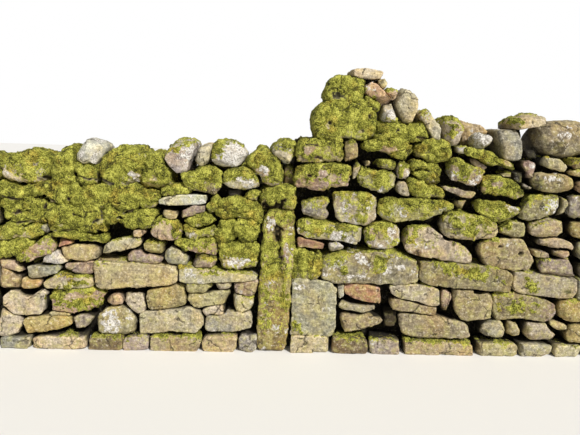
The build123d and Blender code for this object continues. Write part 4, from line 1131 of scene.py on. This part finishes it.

# %% [markdown]
# Some things belong to a place rather than to a whole stone: a bare patch in the moss, a crust of
# lichen, a hole, which is pushed in and painted dark as shade, one end of another colour. They are
# surveyed as marks, by kind: each one's middle in the picture, its half length and half height in
# picture points, and its slope in degrees.

# %% Marks on the front
PIXEL = 0.0063  # what one point of the picture spans on the face, in metres
MARKS = {
    "bare": [(8, 173, 15, 5, -38), (64, 211, 4, 2, 10), (100, 222, 3, 2.5, 40), (91, 234, 4, 2, 0),
     (62, 225, 3, 1.5, 0), (133, 152, 13, 5, -20), (134, 175, 5, 4, 30), (70, 297, 9, 3, 20),
     (154, 178, 6, 3, 0), (249, 184, 9, 5, -25), (264, 171, 5, 6, -40), (235, 152, 13, 9, 0),
     (192, 234, 5, 3, 0), (165, 229, 10, 6, -10), (235, 261, 14, 5, 0), (271, 226, 4, 8, 0),
     (287, 251, 4, 7, 0), (271, 283, 6, 5, 30), (361, 132, 3, 2, 0), (329, 126, 3, 3, 0),
     (386, 151, 11, 5, 10), (323, 173, 5, 5, 20), (334, 177, 6, 4, -20), (317, 184, 7, 4, 10),
     (392, 178, 5, 5, 0), (310, 150, 7, 4, 20), (336, 236, 5, 5, 0), (393, 233, 4, 6, 40),
     (440, 240, 18, 5, -20), (361, 259, 13, 6, -30), (399, 270, 16, 12, -20), (412, 290, 16, 3, -4),
     (452, 221, 13, 5, -10), (506, 162, 8, 4, -40), (499, 184, 9, 4, -12), (513, 208, 8, 4, -30),
     (478, 187, 7, 10, 0), (497, 184, 9, 4, -10)],
    "lichen": [(7, 172, 13, 4, -38), (131, 151, 11, 4, -20), (134, 175, 4, 4, 30), (115, 322, 14, 11, -20),
     (155, 178, 4, 2.5, 0), (249, 184, 10, 5, -25), (264, 172, 6, 7, -40), (233, 152, 14, 9, 0),
     (182, 152, 12, 9, 50), (192, 234, 4, 3, 0), (240, 259, 14, 8, 0), (190, 275, 8, 3, 0),
     (271, 226, 4, 8, 0), (287, 251, 4, 7, 0), (270, 283, 4, 4, 0), (268, 302, 4, 2, 0),
     (274, 326, 4, 5, -40), (296, 286, 4, 5, 0), (372, 86, 6, 6, 0), (428, 117, 5, 6, -50),
     (380, 174, 6, 3, -10), (381, 188, 5, 5, 20), (336, 236, 5, 5, 0), (336, 225, 4, 3, 0),
     (308, 233, 6, 3, -20), (380, 228, 6, 3, 0), (393, 233, 4, 6, 40), (379, 246, 4, 4, 0),
     (415, 244, 5, 4, 0), (425, 247, 3, 3, 0), (360, 258, 10, 5, -30), (348, 275, 26, 2, -3),
     (337, 263, 9, 7, 20), (386, 270, 5, 4, 0), (400, 266, 4, 4, 0), (466, 267, 6, 1.5, -20),
     (465, 231, 3, 4, 0), (511, 243, 7, 4, -10), (554, 178, 10, 4, 0), (471, 183, 5, 5, 0),
     (454, 174, 6, 5, 0), (513, 205, 8, 5, -30), (551, 205, 9, 9, 0), (484, 138, 6, 7, 0),
     (565, 134, 10, 5, 0)],
    "moss": [(19, 253, 6, 9, 40), (76, 284, 16, 4, 10), (78, 303, 26, 6, 0), (56, 297, 10, 4, 0),
     (218, 151, 6, 7, 30), (178, 148, 5, 3, 40), (176, 233, 6, 6, 30), (212, 272, 8, 3, 0),
     (272, 262, 7, 20, 0), (284, 300, 6, 12, 0), (266, 318, 5, 12, 0), (297, 325, 4, 7, 30),
     (375, 101, 5, 9, 30), (388, 122, 8, 4, 0), (400, 174, 4, 6, 30), (312, 228, 15, 5, -8),
     (371, 236, 5, 10, 0), (410, 238, 6, 8, 40), (379, 261, 7, 9, 40), (344, 270, 5, 6, 0),
     (468, 272, 31, 6, -13), (470, 229, 7, 10, 10), (506, 226, 6, 4, 20), (530, 285, 10, 5, -40),
     (518, 307, 20, 9, 0), (455, 222, 14, 4, -8), (520, 121, 7, 5, 0), (452, 133, 6, 6, 0)],
    "purple": [(62, 279, 22, 4, 8), (247, 268, 16, 3, 8), (548, 311, 10, 12, 10)],
    "hole": [(53, 200.5, 6, 1.4, -28), (79, 215.5, 8, 1.2, -14), (102, 213, 2, 5, 0), (96, 220.5, 4, 1.2, 30),
     (44.2, 179.5, 2.5, 3.5, 0), (18.7, 212.3, 4.5, 2.4, 10), (45.5, 207, 2.4, 4, 0), (1.5, 215, 4, 8, 0),
     (13, 198, 10, 1.2, -10), (40, 196.5, 7, 1.1, 12), (68, 230.5, 11, 1.1, 3), (99.5, 233, 3, 3, 0),
     (129, 211.5, 7, 1.3, 20), (120, 217.5, 3.5, 1.4, 0), (25, 221.5, 14, 1.1, 6), (24, 226, 2.2, 1.6, 0),
     (75, 173, 1.4, 7, 0), (88, 178.5, 9, 1.3, -14), (106, 181, 11, 1.5, -26), (69.5, 198.5, 1.6, 1.6, 0),
     (147, 216, 2.5, 1.2, -10), (118, 203, 4, 1.1, 10), (338, 95.5, 6, 3.2, 0), (342, 109, 8, 1.1, -20),
     (330, 123, 1.8, 1.3, 0), (363, 131, 2, 1.5, 30), (381, 133.6, 2.4, 1.2, 0), (397, 131, 2.8, 1.5, 20),
     (422, 138, 5, 1.2, -10), (388.5, 140, 2.4, 1.1, 0), (313, 144.5, 9, 1.0, -3), (319, 158.5, 4, 2.0, -20),
     (332, 154, 2, 1.5, 0), (309, 175, 2.5, 1.3, 0), (422, 170, 10, 1.0, -8), (370, 116, 1.3, 2.5, 0),
     (357, 103, 5, 0.9, -25), (500.7, 246.5, 2.6, 1.4, 0), (520, 253, 2.6, 1.6, 0), (548, 249, 5, 1.5, -8),
     (563, 249.5, 7, 1.3, 0)],
    "pink": [(286, 262, 6, 14, 0), (341, 132, 18, 5, 0), (387, 151, 12, 5, 10), (308, 152, 16, 7, 0),
     (562, 138, 15, 11, 0), (457, 131, 4, 5, 0)],
    "brown": [(417, 254, 9, 4, -20), (368, 262, 8, 6, -20), (466, 271, 24, 4, -12), (502.5, 310, 5, 6, 0),
     (449, 229, 9, 6, 0), (557, 148, 8, 6, 0)],
    "dark": [(456, 232, 5, 3, 0), (474, 228, 4, 6, 20), (566, 291, 5, 4, 0), (538, 185, 6, 7, 30),
     (462, 270, 12, 1.5, -12), (542, 206, 3, 5, 0)],
    "grey": [(497, 158, 3, 2, -30)],
}
PLACED_MARKS = [(kind, on_face(px, py), across * PIXEL, up * PIXEL, radians(slope))
                for kind, marks in MARKS.items() for px, py, across, up, slope in marks]
print(len(PLACED_MARKS), "marks on the front")

# %% [markdown]
# ## Lay the lifts
# A lift is the masonry between two bed lines of the CAD model. The bed lines are read off the CAD
# node's own corners, and every outline is kept between them and between the lift's two ends, so the
# stones sit on what carries them. Behind, where the photograph shows nothing, the same stones are
# laid again in a mirror, with a coarser mesh and other chips and moss.

# %% Bed lines and limits
STRAY = 0.025


def bed_lines(node):
    """The lower and the upper bed line of a lift, as corners sorted along the wall."""
    corners = np.array([(v.co.x, v.co.z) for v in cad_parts[node].data.vertices])
    corners = corners[np.argsort(corners[:, 0], kind="stable")]
    middle = (corners[:, 1].min() + corners[:, 1].max()) / 2
    return corners[corners[:, 1] < middle], corners[corners[:, 1] > middle]


def limits_of(node, behind):
    """How far a dressed piece may reach: a little past its CAD node, and never past the CAD box. What
    is behind is carved as if in front and then turned over, so its limits are turned over here."""
    low, high = (np.array(corner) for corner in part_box(node))
    low, high = np.maximum(low - STRAY, cad_box[0]), np.minimum(high + STRAY, cad_box[1])
    if behind:
        low[1], high[1] = -high[1], -low[1]
    return low, high


def behind_face(proud):
    """A function that places (x, z, depth) behind a battered face, proud metres before the middle."""
    return lambda x, z, depth: np.stack([x, z * BATTER - proud + depth, z], 1)


# %% [markdown]
# The stones in front get a point every 8 mm or so, which is what the camera resolves, and those
# behind one every 15 mm. Both get their rings of points close together near the face, for the arris.

# %% The lifts
FACE_STEP, BACK_STEP = 0.008, 0.015
LEAF_RINGS = np.array([0, 0.007, 0.015, 0.027, 0.050, 0.100, 0.168])
SEAT_GAP = 0.0015
LEFT_TONE, RIGHT_TONE_AND_SHADE = 0.98, 0.78  # the right stretch is darker: partly its rock, partly painted shade
BACK_SEED = 1000
front_wall = behind_face(HALF_FOOT)


def lift_stones(node, rows, behind, seed):
    """The stones of a lift, each kept between its bed lines and its ends."""
    tone = RIGHT_TONE_AND_SHADE if node.startswith("right") else LEFT_TONE
    (lower, upper), (low, high), reach = bed_lines(node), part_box(node), limits_of(node, behind)
    stones = []
    for number, (tint, form, moss, lichen, outline, *more) in enumerate(rows):
        look = dict(tint=tint, form=form, moss=moss, lichen=lichen, tone=tone, **(more[0] if more else {}))
        places = np.array([on_face(px, py) for px, py in outline])
        places[:, 0] = np.clip(places[:, 0], low[0] + SEAT_GAP, high[0] - SEAT_GAP)
        floor_line = np.interp(places[:, 0], lower[:, 0], lower[:, 1]) + SEAT_GAP
        top_line = np.interp(places[:, 0], upper[:, 0], upper[:, 1]) - SEAT_GAP
        places[:, 1] = np.clip(places[:, 1], floor_line, top_line)
        stones.append(carve(places, look, seed + number, BACK_STEP if behind else FACE_STEP, LEAF_RINGS,
                            front_wall, reach, behind=behind, marks=() if behind else PLACED_MARKS))
    return stones


BEHIND_SLAB = [
    ("tan", "block", 0.1, 0.2, [(294, 276), (333, 278), (334, 300), (295, 301)]),
    ("grey", "block", 0.0, 0.3, [(295, 304), (312, 304), (313, 331), (295, 331)]),
    ("light", "block", 0.0, 0.2, [(315, 304), (335, 303), (336, 330), (316, 331)]),
]
LIFTS = (("left_lower", LEFT_LOWER, [], 100), ("left_upper", LEFT_UPPER, [], 200),
         ("right_lower", RIGHT_LOWER, BEHIND_SLAB, 300), ("right_middle", RIGHT_MIDDLE, [], 400),
         ("right_upper", RIGHT_UPPER, [], 500))
for lift, rows, only_behind, seed in LIFTS:
    join(f"{lift}_front_stones", lift_stones(f"{lift}_front", rows, False, seed), f"{lift}_front",
         "walling_stone")
    join(f"{lift}_back_stones", lift_stones(f"{lift}_back", rows + only_behind, True, seed + BACK_SEED),
         f"{lift}_back", "walling_stone")

# %% [markdown]
# ## Dress the stones that the CAD model holds
# Footings, throughs, the stoop and the copes are solids of their own in the CAD model, with the
# right outlines but flat faces. A copy of each is read for its outline seen from the front and for
# the planes of its two faces, and the same carver gives it a weathered surface. The alternative, a
# displaced remesh of the solid, would round every stone alike and lose its flat faces.

# %% Outlines and faces of CAD solids
MERGE = 1e-5


def solids_of(node):
    """The outline (x, z) of each solid of a CAD node, with its reach to the front and the back."""
    bm = bmesh.new()
    bm.from_mesh(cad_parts[node].data)
    bmesh.ops.remove_doubles(bm, verts=bm.verts, dist=MERGE)
    left, found = set(bm.verts), []
    while left:
        island, edge = set(), [left.pop()]
        while edge:
            corner = edge.pop()
            island.add(corner)
            near = {e.other_vert(corner) for e in corner.link_edges} & left
            left -= near
            edge.extend(near)
        flat = [Vector((v.co.x, v.co.z)) for v in island]
        outline = np.array([flat[i] for i in convex_hull_2d(flat)])
        found.append((outline, max(v.co.z * BATTER - v.co.y for v in island),
                      max(v.co.z * BATTER + v.co.y for v in island)))
    bm.free()
    return sorted(found, key=lambda solid: solid[0][:, 0].min())


print("the front footings are", len(solids_of("front_footings")), "solids")

# %% [markdown]
# Footings and the pale slab are face stones with a hidden tail. The others show at both ends, so
# their rings of points lie close together near both faces. Boulders get more rings there, for their
# wide arris, and they narrow towards their ends.

# %% Dress a CAD node
THROUGH_RINGS = [0, 0.007, 0.016, 0.028, 0.045]
BOULDER_RINGS = THROUGH_RINGS + [0.064, 0.086]
RING_STEP = 0.026
WEAR = {"block": 1.3, "slab": 1.2, "round": 1.9, "pillow": 1.9}
TAPER = {"block": 0.12, "slab": 0.10, "round": 0.26, "pillow": 0.24}
# the pins are near-black and set back so that soil darkens them fully: painted shade in the slits
PIN_SEED, SHADE_PIN_LOOK = 50, dict(tint="dark", form="block", set_back=0.05)
PIN_OUTLINE = ((-1, -1), (1, -0.8), (0.7, 1), (-0.8, 0.8))


def rings_through(full, edge):
    """Depths of a stone that shows at both ends: those at each edge, and even steps between them."""
    start = edge[-1] + 0.020
    steps = max(2, int(np.ceil((full - 2 * start) / RING_STEP)) + 1)
    between = list(np.linspace(start, full - start, steps))
    return np.array(edge + between + [full - ring for ring in edge[::-1]])


def between_faces(front, back, full):
    """A function that places (x, z, depth) between two battered faces that are full apart halfway up."""
    return lambda x, z, depth: np.stack(
        [x, (front + back - 2 * z * BATTER) * depth / full - front + z * BATTER, z], 1)


def shade_pinning(shade_pins, seed, step):
    """Small stones in the slits between copes, painted near-black as shade, each from its place and
    half size in the picture.
    """
    stones = []
    for number, (px, py, across, up) in enumerate(shade_pins):
        outline = np.array(on_face(px, py)) + np.array(PIN_OUTLINE) * (across * PIXEL, up * PIXEL)
        stones.append(carve(outline, SHADE_PIN_LOOK, seed + PIN_SEED + number, step, LEAF_RINGS, front_wall,
                            cad_box))
    return stones


def dress(node, slot, looks, seed, step=0.010, leaf=False, behind=False, dents=(), boulder=False, tone=1.0,
          taper=None, shade_pins=()):
    """A dressed piece for a CAD node whose solids are stones of their own."""
    stones, reach = [], limits_of(node, behind)
    for number, (outline, front, back) in enumerate(solids_of(node)):
        if behind:
            front, back = back, front
        tint, form, moss, lichen = looks[number % len(looks)]
        look = dict(tint=tint, form=form, moss=moss, lichen=lichen, tone=tone)
        if boulder:
            look.update(wear=WEAR[form], taper=taper or TAPER[form])
        if leaf:
            rings, to_wall = LEAF_RINGS, behind_face(front)
        else:
            full = front + back - 2 * BATTER * outline[:, 1].mean()
            rings = rings_through(full, BOULDER_RINGS if boulder else THROUGH_RINGS)
            to_wall = between_faces(front, back, full)
        stones.append(carve(outline, look, seed + number, step, rings, to_wall, reach, closed_tail=leaf,
                            behind=behind, dents=dents, marks=() if behind else PLACED_MARKS))
    join(f"{node}_dressed", stones + shade_pinning(shade_pins, seed, step), node, slot)


# %% [markdown]
# The footings take their looks in turn. The throughs, the stoop and the slab beside it are known
# one by one from the photograph. A dent is written as its left, top, right and bottom in metres, and
# its depth.

# %% Footings, throughs, the stoop and the slab
FOOTING_LOOKS = [("tan", "block", 0.05, 0.2), ("grey", "block", 0.0, 0.3), ("light", "block", 0.02, 0.1),
                 ("brown", "block", 0.25, 0.3), ("purple", "block", 0.12, 0.5), ("tan", "block", 0.25, 0.1)]
dress("front_footings", "footing_stone", FOOTING_LOOKS, 700, leaf=True)
dress("back_footings", "footing_stone", FOOTING_LOOKS, 730, step=BACK_STEP, leaf=True, behind=True)
dress("left_throughs", "through_stone", [("grey", "block", 0.1, 0.2), ("tan", "block", 0.03, 0.15),
                                         ("light", "slab", 0.25, 0.5)], 760)
# the right throughs' low tone darkens them, partly as painted shade
dress("right_throughs", "through_stone", [("olive", "pillow", 0.75, 0.3), ("light", "block", 0.42, 0.62),
                                          ("tan", "slab", 0.12, 0.25), ("light", "slab", 0.10, 0.3),
                                          ("grey", "slab", 0.05, 0.2)], 770, tone=0.585)
CLEFT = [((-0.023, 0.880, 0.012, 0.790), 0.045), ((-0.019, 0.800, 0.015, 0.720), 0.050),
         ((-0.008, 0.730, 0.018, 0.650), 0.045), ((0.004, 0.660, 0.024, 0.580), 0.035)]
# the stoop's low tone darkens it, partly as painted shade, and its cleft is painted dark as shade
dress("stoop", "stoop_stone", [("ochre", "block", 0.50, 0.45)], 780, step=0.009, dents=CLEFT, tone=0.72)
dress("pale_slab", "pale_slab_stone", [("light", "block", 0.0, 0.38)], 785, step=FACE_STEP, leaf=True,
      tone=0.74)
# the hollow is painted dark as shade where it sinks in
HOLLOW = [((-0.105, 1.006, 0.030, 0.900), 0.06)]
dress("stoop_head_stone", "stoop_stone", [("tan", "pillow", 0.85, 0.2)], 787, dents=HOLLOW)

# %% [markdown]
# The copes are what gives this wall its ragged top: moss mounds on the left, white boulders of
# lichen, a leaning one over the stoop, and on the right a peak of two great mossy blocks with a
# flat cap. Their looks are listed from left to right, as they stand. Some are darker than their
# rock, partly as painted shade, and some reach less far back than the wall is thick, so they narrow
# more. Where daylight would show between the copes, a waller pins them with a small stone, which
# here is painted near-black as shade.

# %% Copes and the peak
COPES = {
    "left_low_copes": [("olive", "pillow", 0.8, 0.2), ("light", "pillow", 0.80, 0.35),
                       ("olive", "pillow", 1.0, 0.0), ("olive", "pillow", 0.85, 0.1),
                       ("grey", "pillow", 0.90, 0.5), ("olive", "pillow", 0.92, 0.3)],
    "white_cope": [("white", "round", 0.0, 0.9)],
    "left_high_copes": [("white", "block", 0.22, 0.9), ("light", "round", 0.0, 0.1),
                        ("white", "round", 0.42, 0.9)],
    "mossy_cope": [("light", "pillow", 0.72, 0.55)],
    "packing_stone": [("brown", "block", 0.3, 0.0)],
    "pale_cope": [("white", "round", 0.45, 0.6)],
    "peak_block": [("olive", "block", 0.95, 0.0)],
    "peak_upper_block": [("olive", "block", 0.95, 0.0)],
    "peak_cap": [("light", "slab", 0.0, 0.4)],
    "peak_leaning_stone": [("pink", "block", 0.0, 0.2)],
    "peak_wedge": [("tan", "block", 0.0, 0.1)],
    "peak_props": [("olive", "pillow", 0.75, 0.2), ("light", "round", 0.10, 0.9),
                   ("pink", "round", 0.30, 0.4), ("light", "block", 0.0, 0.12)],
    "ledge_stone": [("olive", "pillow", 0.95, 0.0)],
    "right_tall_copes": [("light", "block", 0.05, 0.2), ("light", "round", 0.38, 0.8),
                         ("tan", "block", 0.0, 0.15), ("grey", "round", 0.0, 0.95)],
    "block_cope": [("grey", "block", 0.0, 0.35)],
    "flat_cope": [("light", "slab", 0.06, 0.25)],
    "right_end_copes": [("buff", "round", 0.0, 0.15), ("grey", "round", 0.1, 0.2)],
}
# these tones darken the copes below their rock's colour, partly as painted shade
COPE_TONES_AND_SHADE = {"white_cope": 0.80, "left_high_copes": 0.88, "pale_cope": 0.82, "peak_props": 0.90,
              "right_tall_copes": 0.88, "block_cope": 0.82, "flat_cope": 0.88, "right_end_copes": 0.53}
SHORT_COPES = {"white_cope": 0.50, "flat_cope": 0.60, "right_end_copes": 0.45, "pale_cope": 0.40}
SHADE_PINS = {"left_high_copes": [(191.5, 170.5, 4, 4), (262, 181, 5, 5)],
        "pale_cope": [(293, 159, 4, 5), (282, 163, 3, 3)], "peak_wedge": [(368, 82, 4, 3)],
        "right_end_copes": [(535.5, 155, 9, 5), (521.5, 133.5, 7, 5)]}
for number, (node, looks) in enumerate(COPES.items()):
    dress(node, "cope_stone", looks, 800 + 10 * number, boulder=True, tone=COPE_TONES_AND_SHADE.get(node, 1.0),
          taper=SHORT_COPES.get(node), shade_pins=SHADE_PINS.get(node, ()))

# %% [markdown]
# ## Hearting
# Between the two faces a waller packs small stones, the hearting. Through the open joints it only
# shows as darkness, so a rough core is enough there: the CAD solid, cut into cells and shaken. It is
# painted near-black with soil, as the shade that it shows; only its top, open to the sky, is paler:
# brown, with moss and less soil. Blender's vector noise starts from the clock unless it gets a seed,
# and the wall has to come out the same each time.

# %% The core
CORE_STEP, CORE_END, CORE_TOP = 0.12, 0.075, 0.012  # its cells, and how far it is drawn back
ROUGH_SCALE, ROUGH_DEPTH, LOOKS_UP = 11.0, 0.010, 0.3
CORE_SEED = 7
noise.seed_set(CORE_SEED)


def rough_core(node, end=None, thin=1.0):
    """The CAD core, cut into a mesh, drawn back from the wall's end, if it has one, and roughened."""
    mesh = bpy.data.meshes.new(node)
    bm = bmesh.new()
    bm.from_mesh(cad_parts[node].data)
    bmesh.ops.remove_doubles(bm, verts=bm.verts, dist=MERGE)
    bmesh.ops.dissolve_limit(bm, angle_limit=radians(1), verts=bm.verts, edges=bm.edges)
    low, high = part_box(node)
    for axis in (0, 1, 2):
        way = Vector([float(axis == i) for i in range(3)])
        for cut in np.arange(low[axis] + CORE_STEP / 2, high[axis], CORE_STEP):
            bmesh.ops.bisect_plane(bm, geom=bm.verts[:] + bm.edges[:] + bm.faces[:], plane_co=way * cut,
                                   plane_no=way)
    for corner in bm.verts:
        if end is not None and abs(corner.co.x - end) < 0.001:
            corner.co.x += CORE_END if end < 0 else -CORE_END
        corner.co += noise.noise_vector(corner.co * ROUGH_SCALE) * ROUGH_DEPTH
        corner.co.y *= thin
    bm.normal_update()
    open_air = np.array([corner.normal.z > LOOKS_UP for corner in bm.verts])
    for corner, is_open in zip(bm.verts, open_air):
        corner.co.z = max(corner.co.z - (CORE_TOP if is_open else 0.0), 0.0)
    bm.to_mesh(mesh)
    bm.free()
    # below its open top the core is painted near-black, with soil, as shade
    for label, below, above in (("tint", (*TINTS["dark"], 1), (*TINTS["brown"], 1)),
                                ("cover", (0, 0, 0.7, 1), (0.55, 0.0, 0.25, 1))):
        layer = mesh.attributes.new(label, "FLOAT_COLOR", "POINT")
        layer.data.foreach_set("color", np.where(open_air[:, None], above, below).ravel())
    return mesh


# %% [markdown]
# At the wall's two ends the hearting shows between the two leaves. There it gets small stones of its
# own: rows of uneven height, cut into uneven lengths that fill the gap exactly.

# %% Small stones at the ends
LEAF = 0.179
END_RINGS = np.array([0, 0.007, 0.015, 0.027, 0.045, 0.070])
ROW_HEIGHT, STONE_LENGTH, JOG = (0.06, 0.11), (0.07, 0.15), 0.012
LEAST_LEFT, LEAST_ROW, LEAST_STONE = 0.03, 0.04, 0.09


def joints_of(half, luck):
    """The upright joints of a row, from -half to half."""
    joints = [-half]
    while half - joints[-1] > LEAST_STONE:
        joints.append(joints[-1] + luck.uniform(*STONE_LENGTH))
    joints = np.array(joints if len(joints) > 1 else [-half, half])
    return -half + (joints + half) * 2 * half / (joints[-1] + half)


def small_outline(left, right, bottom, height, luck):
    """The outline of one small stone, with a peak in its top and two corners that are off the square."""
    jog = luck.uniform(-JOG, JOG, 4)
    left, middle, right = left + 0.004, (left + right) / 2 + jog[1], right - 0.004
    return np.array([(left, bottom + 0.003 + abs(jog[0])), (right, bottom + 0.003),
                     (right, bottom + height - 0.004), (middle, bottom + height - 0.002),
                     (left, bottom + height - 0.006 - abs(jog[2]))])


def end_stones(node, end, seed):
    """Rows of small stones that close the hearting at one end of the wall."""
    luck, stones = np.random.default_rng(seed), []
    bottom, top = (np.interp(end, line[:, 0], line[:, 1]) for line in bed_lines(node))
    side = 1 if end < 0 else -1

    def place(across, height, depth):
        return np.stack([end + side * depth, -side * across, height], 1)

    while top - bottom > LEAST_LEFT:
        height = min(luck.uniform(*ROW_HEIGHT), top - bottom)
        if top - bottom - height < LEAST_ROW:
            height = top - bottom
        joints = joints_of(HALF_FOOT - (bottom + height / 2) * BATTER - LEAF, luck)
        for left, right in zip(joints, joints[1:]):
            outline = small_outline(left, right, bottom, height, luck)
            look = dict(tint=luck.choice(["tan", "grey", "brown", "light"]), form="block", moss=0.15,
                        lichen=0.1, wear=0.7)
            stones.append(carve(outline, look, seed + len(stones), 0.012, END_RINGS, place, cad_box))
        bottom += height
    return stones


# %% Lay the hearting
FILLING = "left_through_filling"
LEFT_END, RIGHT_END = cad_box[0][0], cad_box[1][0]
for number, node in enumerate(("left_lower_hearting", "left_upper_hearting", "right_lower_hearting",
                               "right_upper_hearting")):
    end = LEFT_END if node.startswith("left") else RIGHT_END
    join(f"{node}_packed", [rough_core(node, end)] + end_stones(node, end, 1200 + 100 * number), node,
         "hearting_stone")
join("stoop_packing_packed", [rough_core("stoop_packing")], "stoop_packing", "hearting_stone")
join("left_filling_stones", lift_stones(FILLING, LEFT_FILLING, False, 600)
     + lift_stones(FILLING, LEFT_FILLING, True, 600 + BACK_SEED) + [rough_core(FILLING, thin=0.5)],
     FILLING, "walling_stone")
print(len(pieces), "pieces,", sum(triangles_in(piece.data) for piece in pieces.values()), "triangles in all")

# %% [markdown]
# ## Floor and light
# The wall stands in a plain pale studio. One soft sun from the upper right front gives each stone a
# lit side and a dark joint, as on the bright day of the photograph, and the world fills the shadows.
# Only the camera and reflections see the white background, so it puts no light on the stone.

# %% Floor
FLOOR_SIZE, PALE = 40.0, (0.80, 0.79, 0.77, 1)
floor_mesh = bpy.data.meshes.new("floor")
bm = bmesh.new()
bmesh.ops.create_grid(bm, x_segments=2, y_segments=2, size=FLOOR_SIZE / 2)
bm.to_mesh(floor_mesh)
bm.free()
floor = bpy.data.objects.new("floor", floor_mesh)
bpy.context.scene.collection.objects.link(floor)
floor_finish = bpy.data.materials.new("pale_floor")
floor_finish.use_nodes = True
floor_shader = floor_finish.node_tree.nodes["Principled BSDF"].inputs
floor_shader["Base Color"].default_value = PALE
floor_shader["Roughness"].default_value = 0.9
floor.data.materials.append(floor_finish)
print("a floor of", FLOOR_SIZE, "metres")

# %% Light
SUN_STRENGTH, FILL_STRENGTH = 3.95, 0.29
SUN_COLOUR, FILL_COLOUR = (1.0, 0.97, 0.92), (0.93, 0.96, 1.0, 1)
SUN_WIDTH, SUN_FROM = radians(10), Vector((0.50, -0.62, 0.72))
sun_data = bpy.data.lights.new("key", "SUN")
sun_data.energy, sun_data.angle, sun_data.color = SUN_STRENGTH, SUN_WIDTH, SUN_COLOUR
sun = bpy.data.objects.new("key", sun_data)
bpy.context.scene.collection.objects.link(sun)
sun.rotation_euler = SUN_FROM.to_track_quat("Z", "Y").to_euler()

world = bpy.data.worlds.new("studio")
bpy.context.scene.world = world
world.use_nodes = True
world_tree = world.node_tree
fill = world_tree.nodes["Background"]
fill.inputs["Color"].default_value = FILL_COLOUR
fill.inputs["Strength"].default_value = FILL_STRENGTH
white = add_node(world_tree, "Background", {"Color": (1, 1, 1, 1), "Strength": 1.0})
ray = add_node(world_tree, "LightPath").outputs
seen = larger(larger(ray["Is Camera Ray"], ray["Is Glossy Ray"]), ray["Is Transmission Ray"])
both = add_node(world_tree, "MixShader", {0: seen, 1: fill.outputs[0], 2: white.outputs[0]})
lead(both.outputs[0], world_tree.nodes["World Output"].inputs["Surface"])
bpy.context.scene.view_settings.view_transform = "Standard"
print("sun", SUN_STRENGTH, "and fill", FILL_STRENGTH)
